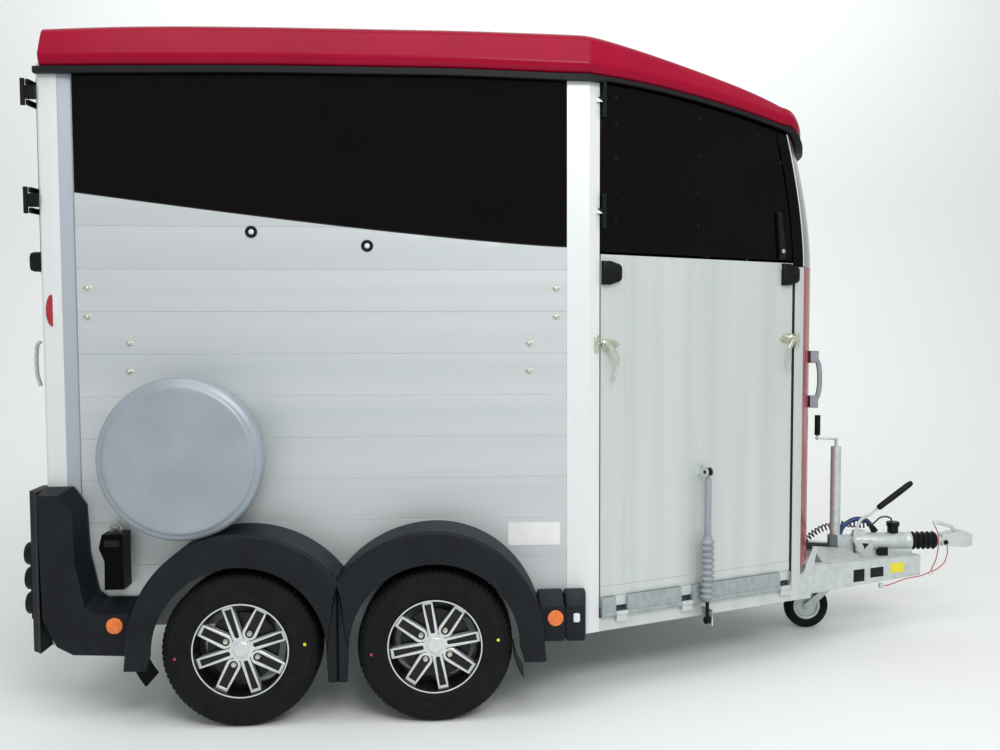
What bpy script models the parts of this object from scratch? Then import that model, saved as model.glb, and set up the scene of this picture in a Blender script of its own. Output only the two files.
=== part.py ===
# Twin-axle horse trailer with aluminium plank sides, a moulded roof, a side front ramp and a rear ramp.
# Metres, +Z up, +X to the front, the right-hand side at -Y. Every size below is measured from the point
# on the ground midway between the two axles; the root empty then centres the whole trailer on the origin.
from math import atan2, cos, degrees, pi, radians, sin, sqrt, tan

import bmesh
import bpy
from mathutils import Matrix, Vector

# Clearances
seat_gap = 0.0003  # between pieces that touch
moving_gap = 0.006  # between pieces that move past each other
pin_gap = 0.0013  # between the knuckles of one hinge

# Running gear
axle_spacing = 0.704
tyre_radius = 0.286
tyre_width = 0.172
rim_lip_radius = 0.179
beam_size = 0.060
stub_radius = 0.022
drum_radius = 0.105
wheel_steps = 24
wheel_height = tyre_radius

# Body
half_width = 0.916
track_half = half_width + 0.114
rail_y = half_width - 0.116
rail_half = 0.030
wall_thickness = 0.028
rear_plane = -1.090
rear_post_width = 0.128
post_stand = 0.002  # the posts stand this far out from the planks
post_depth = 0.034
b_post_start = 0.854
taper_start = 0.935
b_post_run = 0.049  # how far the B-post reaches round onto the taper
taper_angle = radians(23.9)
taper_length = 1.057
front_post_width = 0.056
floor_top = 0.440
floor_thickness = 0.040
skirt_bottom = 0.335
sill_bottom = 0.266
sill_top = 0.318
trim_height = 0.028
trim_width = 0.028
post_inner = rear_plane + rear_post_width
post_face = half_width + post_stand
post_back = half_width - post_depth

# Lower rim of the roof: level, then falling away to the nose
eave_height = 2.420
eave_bend = taper_start - 0.035
eave_fall = 0.152
eave_power = 1.79

# Doors and ramps
leaf_thickness = 0.030
hinge_radius = 0.010
ramp_hinge_height = skirt_bottom - 0.004
ramp_bottom = skirt_bottom + 0.025
ramp_top = eave_height - 0.683
ramp_fall = 0.018  # the ramp's top edge is lower at its front end
ramp_axis_out = 0.014
top_door_bottom = ramp_top + 0.011
top_door_axis_out = 0.018
door_knuckle_radius = 0.009
rear_ramp_top = eave_height - 0.780
rear_door_bottom = rear_ramp_top + 0.012
rear_door_top = eave_height - 0.048
rear_door_axis = (rear_plane - 0.040, -half_width - 0.014)
rear_hinge_drops = (0.105, 0.495)  # below the eave
top_door_hinge_drops = (0.100, 0.520)
rear_ramp_knuckles = (-0.475, 0.0, 0.475)
knuckle_half = 0.025
panel_edge_rear = eave_height - 0.463
panel_edge_front = eave_height - 0.657
panel_edge_bend = 1.25

# Spring strut of the side ramp
strut_out = 0.050
strut_tube_radius = 0.014
strut_rod_radius = 0.008
strut_top = ramp_top / 2
strut_tube_bottom = 0.545
strut_low_eye = 0.258
bellows_top = 0.536
bellows_ribs = 6
bellows_pitch = 0.0373

# Nose
nose_bulge = 0.11863  # how far the middle of the nose stands ahead of its corners
nose_bottom = 0.400
nose_thickness = 0.027
nose_joint = ramp_top - 0.034
nose_lean = 0.110
nose_steps = 12
nose_tip = taper_start + taper_length * cos(taper_angle) + nose_bulge

# Roof
roof_rear = -1.170
roof_side_rear = -1.100
roof_overhang = 0.039
roof_nose_overhang = 0.060
roof_rim = 0.066
roof_skin = 0.014
roof_band = 0.045
roof_rise = 0.285
ridge_bend = taper_start + 0.015
ridge_fall = 0.320
roof_tip = nose_tip - 0.95 * nose_lean + roof_nose_overhang
roof_reach = roof_tip - taper_start

# Mudguards and the corner mouldings
guard_face = half_width + 0.219
guard_skin = 0.010
guard_top = 0.434
guard_side = 0.405
guard_valley = 0.442
guard_opening = 0.312
guard_end = 0.763
guard_bottom = 0.228
guard_foot = 0.082
guard_middle_bottom = 0.170
cap_end = 0.925
corner_face = track_half
lamp_heights = (0.432, 0.525, 0.618)
lamp_radius = 0.042

# Fittings on the right-hand wall
spare_place = (-0.548, 0.987)
spare_radius = 0.292
chock_x = -0.829

# Drawbar and coupling
jockey_x = nose_tip + 0.195
drawbar_rear = taper_start - 0.195
drawbar_front = jockey_x + 0.385
drawbar_rear_half = half_width - 0.1473
drawbar_tip_half = 0.060
drawbar_slope = (drawbar_rear_half - drawbar_tip_half) / (drawbar_front - drawbar_rear)
drawbar_bottom = 0.215
drawbar_top = skirt_bottom - seat_gap
drawbar_wall = 0.045
plate_top = drawbar_top + 0.012
coupling_height = drawbar_top + 0.0753
coupling_tip = drawbar_front + 0.285
gaiter_start = drawbar_front - 0.0127
gaiter_length = 0.1225
gaiter_ribs = 5

# Jockey wheel
jockey_trail = 0.138
jockey_wheel_radius = 0.105
jockey_tube_radius = 0.024
jockey_leg_radius = 0.018
jockey_tube_bottom = 0.322
jockey_tube_top = 0.871
crank_throw = 0.092
jockey_wheel_x = jockey_x - jockey_trail

# Cords: the points each route passes, chosen by hand
lighting_route = [
    (jockey_x - 0.23, 0.055, 0.366),
    (jockey_x - 0.185, 0.053, 0.372),
    (jockey_x - 0.13, 0.049, 0.412),
    (jockey_x - 0.065, 0.047, 0.457),
    (jockey_x, 0.050, 0.478),
    (jockey_x + 0.065, 0.034, 0.488),
    (jockey_x + 0.11, 0.003, 0.490),
    (jockey_x + 0.13, 0.000, 0.490),
    (jockey_x + 0.17, 0.000, 0.490),
]
lead_route = [
    (jockey_x + 0.1703, 0.0, 0.490),
    (jockey_x + 0.176, 0.0, 0.490),
    (jockey_x + 0.182, 0.0, 0.490),
    (jockey_x + 0.198, 0.0, 0.503),
    (jockey_x + 0.221, 0.0, 0.5225),
    (jockey_x + 0.249, 0.0, 0.5275),
    (jockey_x + 0.27, 0.0, 0.522),
    (jockey_x + 0.277, 0.0, 0.5146),
    (jockey_x + 0.277, 0.0, 0.5086),
    (jockey_x + 0.277, 0.0, 0.5026),
]
breakaway_route = [
    (drawbar_front - 0.2047, -0.172, 0.236),
    (drawbar_front - 0.19, -0.172, 0.237),
    (drawbar_front - 0.15, -0.158, 0.244),
    (drawbar_front - 0.09, -0.132, 0.255),
    (drawbar_front - 0.035, -0.112, 0.259),
    (drawbar_front + 0.004, -0.096, 0.260),
    (drawbar_front + 0.04, -0.062, 0.260),
    (drawbar_front + 0.08, -0.030, 0.262),
    (drawbar_front + 0.125, -0.010, 0.274),
    (drawbar_front + 0.157, -0.004, 0.300),
    (drawbar_front + 0.173, 0.000, 0.340),
    (drawbar_front + 0.173, 0.000, 0.370),
    (drawbar_front + 0.173, 0.000, 0.3835),
]
lanyard_route = [
    (drawbar_front + 0.1, -0.012, 0.4835),
    (drawbar_front + 0.102, -0.030, 0.473),
    (drawbar_front + 0.104, -0.054, 0.440),
    (drawbar_front + 0.102, -0.060, 0.390),
    (drawbar_front + 0.096, -0.052, 0.330),
    (drawbar_front + 0.087, -0.036, 0.290),
    (drawbar_front + 0.08, -0.0300, 0.2655),
]
cable_radius = 0.018
lead_radius = 0.004
breakaway_radius = 0.0025
plug_x = lead_route[-1][0] + 0.008
plug_length = 0.050

# Where the trailer's own middle lies, from its rearmost and foremost points
middle_x = (roof_rear + coupling_tip) / 2


# Scene and materials
for old in list(bpy.data.objects):
    bpy.data.objects.remove(old, do_unlink=True)
parts = bpy.data.collections.new("horse_trailer")
cutters = bpy.data.collections.new("horse_trailer_cutters")
bpy.context.scene.collection.children.link(parts)
bpy.context.scene.collection.children.link(cutters)
cutters.hide_render = True
root = bpy.data.objects.new("trailer", None)
root.location = (-middle_x, 0.0, 0.0)
parts.objects.link(root)


def linear(channel):
    return channel / 12.92 if channel <= 0.04045 else ((channel + 0.055) / 1.055) ** 2.4


def finish(name, hex_colour, roughness, metallic=0.0):
    """A Principled material of one sRGB colour."""
    material = bpy.data.materials.new(name)
    material.use_nodes = True
    shader = material.node_tree.nodes["Principled BSDF"]
    rgb = [linear(int(hex_colour[i : i + 2], 16) / 255) for i in (0, 2, 4)]
    shader.inputs["Base Color"].default_value = (*rgb, 1.0)
    shader.inputs["Roughness"].default_value = roughness
    shader.inputs["Metallic"].default_value = metallic
    material.diffuse_color = (*rgb, 1.0)
    return material


aluminium = finish("anodised_aluminium", "C4C8C6", 0.42, 0.8)
galvanised = finish("galvanised_steel", "A9AFAE", 0.55, 0.7)
black_gloss = finish("black_gloss_panel", "0B0B0D", 0.08)
black_plastic = finish("black_moulded_plastic", "1E2022", 0.55)
rubber = finish("black_rubber", "17181A", 0.7)
roof_red = finish("red_moulded_roof", "A31A35", 0.25)
tinted_glass = finish("tinted_window", "15171B", 0.08)
cover_grey = finish("grey_cover", "929FA8", 0.45)
rim_silver = finish("machined_rim", "C8CACB", 0.3, 0.9)
lens_red = finish("lamp_lens", "7A1018", 0.2)
handle_grey = finish("grey_handle", "8B8F93", 0.5)
cable_black = finish("cable_sheath", "141416", 0.5)
cable_red = finish("red_coated_cable", "B03A30", 0.5)


# Shapes
def mesh_from(bm, name="shape"):
    bmesh.ops.recalc_face_normals(bm, faces=bm.faces)
    mesh = bpy.data.meshes.new(name)
    bm.to_mesh(mesh)
    bm.free()
    return mesh


def block(x0, x1, y0, y1, z0, z1):
    """A box between two corners."""
    bm = bmesh.new()
    middle = Vector(((x0 + x1) / 2, (y0 + y1) / 2, (z0 + z1) / 2))
    size = Matrix.Diagonal((abs(x1 - x0), abs(y1 - y0), abs(z1 - z0), 1.0))
    bmesh.ops.create_cube(bm, size=1.0, matrix=Matrix.Translation(middle) @ size)
    return mesh_from(bm)


def box(a0, b0, a1, b1):
    """The four corners of a rectangle, for an outline."""
    return [(a0, b0), (a1, b0), (a1, b1), (a0, b1)]


def prism(outline, axis, low, high):
    """A flat outline carried along X, Y or Z; its points are the two other coordinates in order."""
    bm = bmesh.new()
    put = {
        "X": lambda a, b: (low, a, b),
        "Y": lambda a, b: (a, low, b),
        "Z": lambda a, b: (a, b, low),
    }[axis]
    face = bm.faces.new([bm.verts.new(put(a, b)) for a, b in outline])
    made = bmesh.ops.extrude_face_region(bm, geom=[face])["geom"]
    step = Vector([high - low if axis == name else 0.0 for name in "XYZ"])
    bmesh.ops.translate(bm, verts=[v for v in made if isinstance(v, bmesh.types.BMVert)], vec=step)
    return mesh_from(bm)


def rod(start, end, radius, steps=16):
    """A round bar between two points."""
    start, end = Vector(start), Vector(end)
    bm = bmesh.new()
    turn = (end - start).to_track_quat("Z", "Y").to_matrix().to_4x4()
    place = Matrix.Translation((start + end) / 2) @ turn
    length = (end - start).length
    bmesh.ops.create_cone(
        bm, cap_ends=True, segments=steps, radius1=radius, radius2=radius, depth=length, matrix=place
    )
    return mesh_from(bm)


def evaluated(obj):
    """The object's mesh with its modifiers applied; the object itself goes."""
    bpy.context.view_layer.update()
    graph = bpy.context.evaluated_depsgraph_get()
    mesh = bpy.data.meshes.new_from_object(obj.evaluated_get(graph))
    mesh.transform(obj.matrix_world)
    bpy.data.objects.remove(obj, do_unlink=True)
    return mesh


def welded(mesh):
    """The mesh with its doubled points merged, its faces turned outwards."""
    bm = bmesh.new()
    bm.from_mesh(mesh)
    bmesh.ops.remove_doubles(bm, verts=bm.verts, dist=0.00001)
    return mesh_from(bm)


def turned(profile, centre, axis, steps=32):
    """A profile of (radius, distance along the axis) turned about the axis with a Screw modifier.
    A profile that starts and ends off the axis is closed on itself, as a tyre is."""
    closed = profile[0][0] > 0 and profile[-1][0] > 0
    mesh = bpy.data.meshes.new("turned")
    edges = [(i, i + 1) for i in range(len(profile) - 1)] + ([(len(profile) - 1, 0)] if closed else [])
    mesh.from_pydata([(r, 0.0, h) for r, h in profile], edges, [])
    obj = bpy.data.objects.new("turned", mesh)
    cutters.objects.link(obj)
    screw = obj.modifiers.new("turn", "SCREW")
    screw.steps = screw.render_steps = steps
    screw.use_merge_vertices = True
    screw.merge_threshold = 0.0001
    turn = Vector(axis).to_track_quat("Z", "Y").to_matrix().to_4x4()
    obj.matrix_world = Matrix.Translation(Vector(centre)) @ turn
    return welded(evaluated(obj))


def tube(points, radius, sides=2):
    """A round bar along a list of points: a POLY curve with a bevel and filled caps."""
    curve = bpy.data.curves.new("tube", "CURVE")
    curve.dimensions = "3D"
    curve.bevel_depth = radius
    curve.bevel_resolution = sides
    curve.use_fill_caps = True
    spline = curve.splines.new("POLY")
    spline.points.add(len(points) - 1)
    for point, place in zip(spline.points, points):
        point.co = (*place, 1.0)
    obj = bpy.data.objects.new("tube", curve)
    cutters.objects.link(obj)
    return welded(evaluated(obj))


def smooth_route(points, spacing):
    """Evenly spaced points read from a smooth curve through the given ones."""
    ends = [Vector(points[0]) * 2 - Vector(points[1])] + [Vector(p) for p in points]
    ends.append(Vector(points[-1]) * 2 - Vector(points[-2]))
    fine = []
    for p0, p1, p2, p3 in zip(ends, ends[1:], ends[2:], ends[3:]):
        for step in range(20):
            t = step / 20
            value = 2 * p1 + (p2 - p0) * t + (2 * p0 - 5 * p1 + 4 * p2 - p3) * t**2
            fine.append((value + (3 * p1 - p0 - 3 * p2 + p3) * t**3) / 2)
    fine.append(ends[-2])
    lengths = [0.0]
    for a, b in zip(fine, fine[1:]):
        lengths.append(lengths[-1] + (b - a).length)
    count = max(round(lengths[-1] / spacing), 6)
    route, i = [], 0
    for k in range(count + 1):
        wanted = lengths[-1] * k / count
        while i < len(fine) - 2 and lengths[i + 1] < wanted:
            i += 1
        share = (wanted - lengths[i]) / (lengths[i + 1] - lengths[i])
        route.append(fine[i].lerp(fine[i + 1], share))
    return route


def loft(sections):
    """A closed skin over like-numbered closed loops of points, capped at both ends."""
    bm = bmesh.new()
    rings = [[bm.verts.new(p) for p in section] for section in sections]
    count = len(rings[0])
    for ring, following in zip(rings, rings[1:]):
        for i in range(count):
            j = (i + 1) % count
            bm.faces.new((ring[i], ring[j], following[j], following[i]))
    bm.faces.new(rings[0])
    bm.faces.new(rings[-1])
    return mesh_from(bm)


def combined(base, others, operation):
    """The base with an EXACT Boolean of each other shape."""
    held = bpy.data.objects.new("base", base)
    cutters.objects.link(held)
    helpers = []
    for other in others:
        helper = bpy.data.objects.new("helper", other)
        helper.hide_render = True
        helper.display_type = "WIRE"
        cutters.objects.link(helper)
        helpers.append(helper)
        boolean = held.modifiers.new("boolean", "BOOLEAN")
        boolean.operation = operation
        boolean.object = helper
    mesh = evaluated(held)
    for helper in helpers:
        bpy.data.objects.remove(helper, do_unlink=True)
    return mesh


def joined(*shapes):
    return combined(shapes[0], shapes[1:], "UNION")


def cut(shape, *tools):
    return combined(shape, tools, "DIFFERENCE")


def moved(mesh, matrix):
    mesh.transform(matrix)
    if matrix.determinant() < 0:
        mesh.flip_normals()
    return mesh


def mirrored(mesh):
    """A copy on the other side of the trailer."""
    return moved(mesh.copy(), Matrix.Diagonal((1.0, -1.0, 1.0, 1.0)))


# On the tapered front side, s runs forward along the panel, n outward from it, and z up.
taper_corner = Vector((taper_start, -half_width, 0.0))
taper_frame = Matrix.Translation(taper_corner) @ Matrix.Rotation(taper_angle, 4, "Z")


def on_taper(s, n, z):
    return taper_frame @ Vector((s, -n, z))


def taper_prism(outline, n_low, n_high):
    """An outline in (s, z) on the tapered front, between two distances outward."""
    return moved(prism(outline, "Y", -n_high, -n_low), taper_frame)


def taper_plan(plan, z_low, z_high):
    """An outline in (s, n) on the tapered front, between two heights."""
    return moved(prism([(s, -n) for s, n in plan], "Z", z_low, z_high), taper_frame)


def taper_rod(start, end, radius, steps=16):
    """A round bar between two (s, n, z) points of the tapered front."""
    return rod(on_taper(*start), on_taper(*end), radius, steps)


def joint_empty(name, place, parent=None):
    """An empty on a joint's axis. Pieces parented to it turn or slide with it."""
    holder = parent or root
    empty = bpy.data.objects.new(name, None)
    empty.parent = holder
    empty["place"] = list(place)
    empty.location = Vector(place) - Vector(holder.get("place", (0.0, 0.0, 0.0)))
    empty.empty_display_size = 0.1
    parts.objects.link(empty)
    return empty


def piece(name, mesh, material, carrier=None):
    """One named sub-part with its own material, on the root or on a joint's empty."""
    holder = carrier or root
    mesh.transform(Matrix.Translation(-Vector(holder.get("place", (0.0, 0.0, 0.0)))))
    mesh.name = name
    mesh.materials.clear()
    mesh.materials.append(material)
    mesh.shade_smooth()
    mesh.set_sharp_from_angle(angle=radians(35))
    obj = bpy.data.objects.new(name, mesh)
    obj.parent = holder
    parts.objects.link(obj)
    return obj


def pair(name, mesh, material):
    """A fixed piece on the right and its mirror image on the left."""
    other = mirrored(mesh)
    piece(name + "_right", mesh, material)
    piece(name + "_left", other, material)


# Outlines shared by neighbours
def eave_at(x):
    return eave_height - eave_fall * max(0.0, x - eave_bend) ** eave_power


def arc(centre, radius_a, radius_b, start, end, steps):
    """Points of an elliptical arc, angles in degrees."""
    turns = [radians(start + (end - start) * i / steps) for i in range(steps + 1)]
    return [(centre[0] + radius_a * cos(t), centre[1] + radius_b * sin(t)) for t in turns]


nose_top = eave_at(on_taper(taper_length - nose_lean, 0.0, 0.0).x) - 0.004


def lean_at(z):
    """How far the front post, the door's edge and the window lean back at a height."""
    return nose_lean * (max(0.0, z - nose_joint) / (nose_top - nose_joint)) ** 1.7


lean_heights = [nose_joint + (nose_top - 0.002 - nose_joint) * share for share in (0.0, 0.336, 0.644, 1.0)]

panel_edge_steps = 12
edge_x = [
    post_inner + (b_post_start - post_inner) * i / panel_edge_steps for i in range(panel_edge_steps + 1)
]


def panel_edge(x):
    """Lower edge of the black upper panel, falling from the rear post to the B-post."""
    share = (b_post_start - x) / (b_post_start - post_inner)
    return panel_edge_front + (panel_edge_rear - panel_edge_front) * max(share, 0.0) ** panel_edge_bend


# Side walls, posts and floor
def make_side_walls():
    low, high = post_inner + seat_gap, b_post_start - seat_gap
    top = eave_height - seat_gap
    edge = [(min(max(x, low), high), panel_edge(x)) for x in edge_x]
    planks = [(low, skirt_bottom), (high, skirt_bottom)] + edge[::-1]
    pair("side_wall", prism(planks, "Y", -half_width, wall_thickness - half_width), aluminium)
    panel = [(x, z + seat_gap) for x, z in edge] + [(high, top), (low, top)]
    pair("upper_panel", prism(panel, "Y", -half_width, wall_thickness - half_width), black_gloss)


def make_rear_posts():
    """Rounded at the outer rear arris and returned inward beside the ramp; they carry the rear doors."""
    arris, lip = 0.030, 0.030
    corner = arc((rear_plane + arris, -post_face + arris), arris, arris, 180, 270, 5)
    outline = corner + [(post_inner, -post_face), (post_inner, -post_back), (rear_plane + lip, -post_back)]
    outline += [(rear_plane + lip, -post_back + lip), (rear_plane, -post_back + lip)]
    x, y = rear_door_axis
    knuckles = []
    for drop in rear_hinge_drops:
        z = eave_height - drop
        arm = block(x, rear_plane + arris, y - 0.004, -post_face + 0.0037, z - knuckle_half, z + knuckle_half)
        pin = rod((x, y, z - knuckle_half - 0.001), (x, y, z + knuckle_half + 0.001), hinge_radius, 12)
        knuckles += [arm, pin]
    post = prism(outline, "Z", sill_bottom, eave_height - seat_gap)
    pair("rear_post", joined(post, *knuckles), aluminium)


def make_b_posts():
    """Flat along the side, then bent round onto the tapered front; the right one carries the top door."""
    run = b_post_run - seat_gap
    outer, inner = on_taper(run, post_stand, 0), on_taper(run, -post_depth, 0)
    outline = [
        (b_post_start, -post_face),
        (taper_start - 0.012, -post_face),
        (taper_start + 0.004, -post_face + 0.0005),
        (outer.x, outer.y),
        (inner.x, inner.y),
        (taper_start - 0.006, -post_back),
        (b_post_start, -post_back),
    ]
    post = prism(outline, "Z", sill_bottom, eave_at(outer.x + 0.01) - seat_gap)
    piece("b_post_left", mirrored(post), aluminium)
    s, n = b_post_run + 0.012, top_door_axis_out
    knuckles = []
    for drop in top_door_hinge_drops:
        z = eave_height - drop
        plan = [(s, n - 0.007), (s, n + 0.007), (s - 0.028, 0.008), (s - 0.028, 0.001)]
        knuckles.append(taper_plan(plan, z - 0.0092, z + 0.0092))
        knuckles.append(taper_rod((s, n, z - 0.01), (s, n, z + 0.01), door_knuckle_radius, 12))
    piece("b_post_right", joined(post, *knuckles), aluminium)


def make_front_posts():
    """Upright beside the ramp, then leaning back with the window."""
    low_s, high_s = taper_length - front_post_width, taper_length - seat_gap
    corners = ((low_s, post_stand), (high_s, post_stand), (high_s, -post_depth), (low_s, -post_depth))
    sections = [
        [on_taper(s - lean_at(z), n, z) for s, n in corners] for z in [sill_bottom] + lean_heights
    ]
    pair("front_post", loft(sections), aluminium)


def make_floor():
    """Floor deck with the tapered front corners and the nose's arc."""
    edge = half_width - wall_thickness - seat_gap
    beside_post = post_back - seat_gap
    first, last = post_inner + 2 * seat_gap, b_post_start - 2 * seat_gap
    corner = on_taper(taper_length - 0.008, -0.05, 0)
    half = abs(corner.y) - 0.015
    bulge = [1 - 2 * i / 8 for i in range(9)]
    front = [
        (nose_tip - nose_thickness - 0.004 - nose_bulge * (half * t / corner.y) ** 2, half * t) for t in bulge
    ]
    side = [(rear_plane + 0.036, beside_post), (first, beside_post), (first, edge), (last, edge)]
    side += [(last, beside_post), (taper_start - 0.01, beside_post), (corner.x, -corner.y)]
    outline = side + front + [(x, -y) for x, y in side[::-1]]
    piece("floor", prism(outline, "Z", floor_top - floor_thickness, floor_top), aluminium)


# Chassis, axles and wheels
chassis_top = floor_top - floor_thickness - seat_gap


def spring_pack(centre_x, y):
    """A leaf spring under a side rail, on the axle's saddle and held by a hanger at each end."""
    half, width, leaf_thick, camber = 0.30, 0.045, 0.013, 0.012
    low = wheel_height + beam_size / 2 + seat_gap
    upper = [(centre_x + half * t, low + leaf_thick + camber * t * t) for t in (-1, -0.4, 0.4, 1)]
    lower = [(x, z - leaf_thick) for x, z in upper]
    hanger_half = width / 2 + 0.004
    hangers = [
        block(x - 0.02, x + 0.02, y - hanger_half, y + hanger_half, low + 0.006, skirt_bottom + 0.018)
        for x in (centre_x - half + 0.012, centre_x + half - 0.012)
    ]
    saddle = block(centre_x - 0.045, centre_x + 0.045, y - hanger_half, y + hanger_half, low, low + 0.02)
    return [prism(upper + lower[::-1], "Y", y - width / 2, y + width / 2), saddle] + hangers


def make_chassis():
    """Side rails and cross members under the floor, the leaf springs, and the rear ramp's knuckles."""
    low, top = skirt_bottom, chassis_top
    shapes = []
    for side in (-1, 1):
        y = side * rail_y
        shapes.append(block(rear_plane + 0.04, taper_start, y - rail_half, y + rail_half, low, top))
        for x in (-axle_spacing / 2, axle_spacing / 2):
            shapes += spring_pack(x, y)
    for x in (rear_plane + 0.065, -0.70, 0.0, 0.70, taper_start - 0.03):
        reach = rail_y - 0.005
        shapes.append(block(x - 0.025, x + 0.025, -reach, reach, low + 0.004, top - 0.004))
    axis_x, z = rear_plane - seat_gap - 0.006, ramp_hinge_height
    for y in rear_ramp_knuckles:
        arm_low, arm_high = z - 0.008, z + 0.010
        shapes.append(block(axis_x, rear_plane + 0.05, y - knuckle_half, y + knuckle_half, arm_low, arm_high))
        ends = y - knuckle_half - 0.001, y + knuckle_half + 0.001
        shapes.append(rod((axis_x, ends[0], z), (axis_x, ends[1], z), hinge_radius, 12))
    front = on_taper(taper_length - 0.10, -0.06, 0)
    reach = abs(front.y) - 0.02
    shapes.append(block(front.x - 0.05, front.x, -reach, reach, low + 0.004, top - 0.004))
    for side in (-1, 1):
        start = Vector((taper_start - 0.02, side * (rail_y - 0.005), 0))
        end = Vector((front.x - 0.02, side * (abs(front.y) - 0.035), 0))
        across = (end - start).cross(Vector((0, 0, 1))).normalized() * 0.02
        corners = [start + across, end + across, end - across, start - across]
        shapes.append(prism([(c.x, c.y) for c in corners], "Z", low + 0.002, top - 0.002))
    piece("chassis_frame", joined(*shapes), galvanised)


def make_axles():
    """Square beam axles with round stubs and brake drums, one under each pair of wheels."""
    half = beam_size / 2
    stub_end = track_half - 0.0046
    for name, x in (("axle_front", axle_spacing / 2), ("axle_rear", -axle_spacing / 2)):
        z = wheel_height
        beam_end = half_width - 0.056
        shapes = [block(x - half, x + half, -beam_end, beam_end, z - half, z + half)]
        for side in (-1, 1):
            shapes.append(rod((x, side * (beam_end - 0.01), z), (x, side * stub_end, z), stub_radius, 12))
            drum = [(x, side * (track_half - back), z) for back in (0.105, 0.045)]
            shapes.append(rod(*drum, drum_radius, 16))
        piece(name, joined(*shapes), galvanised)


def make_wheels():
    """Four road wheels that turn freely; each has a tyre and an eight-spoke rim."""
    outer = tyre_width / 2
    tyre = [
        (rim_lip_radius - 0.004, outer - 0.012),
        (rim_lip_radius + 0.012, outer - 0.003),
        (0.238, outer),
        (tyre_radius - 0.010, outer - 0.012),
        (tyre_radius, outer - 0.032),
    ]
    tyre += [(r, -h) for r, h in tyre[::-1]]
    lip = rim_lip_radius - 0.0045
    barrel = [
        (lip, outer - 0.006),
        (lip - 0.007, outer - 0.004),
        (lip - 0.020, outer - 0.030),
        (lip - 0.020, -outer + 0.012),
        (lip, -outer + 0.012),
    ]
    # the bore is a polygon: its flats, not only its corners, clear the stub
    bore = (stub_radius + seat_gap) / cos(pi / 12)
    hub = [
        (0.0, 0.052),
        (0.030, 0.052),
        (0.055, 0.030),
        (0.088, 0.014),
        (0.088, -0.004),
        (0.030, -0.004),
        (0.030, -0.034),
        (bore, -0.034),
        (bore, -0.0043),
        (0.0, -0.0043),
    ]
    wheels = (  # name, side, x, phase of the spokes in degrees
        ("front_right", -1, axle_spacing / 2, 12.1),
        ("rear_right", -1, -axle_spacing / 2, 19.6),
        ("front_left", 1, axle_spacing / 2, 5.0),
        ("rear_left", 1, -axle_spacing / 2, 31.0),
    )
    for name, side, x, phase in wheels:
        centre = (x, side * track_half, wheel_height)
        axis = (0, side, 0)
        carrier = joint_empty("wheel_" + name, centre)
        piece("tyre_" + name, turned(tyre, centre, axis, wheel_steps), rubber, carrier)
        shapes = [turned(barrel, centre, axis, wheel_steps), turned(hub, centre, axis, 12)]
        facing = Matrix.Diagonal((1.0, -side, 1.0, 1.0))
        for i in range(8):
            spoke = [(0.045, -0.008), (0.155, -0.021), (lip - 0.006, -0.017)]
            spoke += [(u, -v) for u, v in spoke[::-1]]
            turn = Matrix.Rotation(radians(phase + 45 * i), 4, "Y")
            place = Matrix.Translation(Vector(centre)) @ facing @ turn
            shapes.append(moved(prism(spoke, "Y", -0.030, -0.052), place))
        piece("rim_" + name, joined(*shapes), rim_silver, carrier)


# Mudguards and corner mouldings
def arch_outline(offset):
    """One rear half of the twin arch, from its rear foot to the valley between the wheels."""
    centre = (-axle_spacing / 2, wheel_height)
    side, top, valley = guard_side - offset, guard_top - offset, guard_valley - offset
    across = axle_spacing / 2 / valley
    meet = degrees(atan2(sqrt(1 - across**2), across))
    rise = arc(centre, side, top, 180, 90, 7)
    fall = arc(centre, valley, top, 90, meet, 4)[1:]
    return [(-guard_end + offset, guard_bottom)] + rise + fall


def make_mudguards():
    """Twin-arch mouldings over both wheels: a skin out from the wall and a face band round each opening,
    with a squared end cap in front."""
    outer, inner = arch_outline(0.0), arch_outline(guard_skin)
    outer += [(-x, z) for x, z in outer[::-1][1:]]
    inner += [(-x, z) for x, z in inner[::-1][1:]]
    wall_side = -half_width - 0.0025
    skin = prism(outer + inner[::-1], "Y", -guard_face, wall_side)
    half = axle_spacing / 2
    opening = arc((-half, wheel_height), guard_opening, guard_opening, 180, 0, 12)
    hole = [(-guard_end + guard_foot, guard_bottom)] + opening
    hole.append((-half + guard_opening + 0.006, guard_middle_bottom))
    face = outer + [(-x, z) for x, z in hole] + hole[::-1]
    band = prism(face, "Y", -guard_face, -guard_face + guard_skin)
    # the divider between the wheels reaches back to the wall
    divider_low, divider_high = guard_middle_bottom + 0.03, wheel_height + 0.245
    divider = block(-0.012, 0.012, -guard_face + 0.004, wall_side, divider_low, divider_high)
    start, low, high = guard_end - 0.028, 0.262, 0.446
    cap_wall = box(start, low, cap_end, high)
    cap_face = [(start, low + 0.002), (cap_end - 0.013, low + 0.02)]
    cap_face += [(cap_end - 0.013, high - 0.035), (start, high - 0.035)]
    steps = ((cap_wall, wall_side), (cap_wall, -half_width - 0.024), (cap_face, -half_width - 0.139))
    cap = loft([[(x, y, z) for x, z in outline] for outline, y in steps])
    clear = block(0.6, guard_end - 0.006, -guard_face - 0.1, -half_width + 0.1, 0.2, 0.5)
    pair("mudguard", joined(skin, band, divider, cut(cap, clear)), black_plastic)


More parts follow.
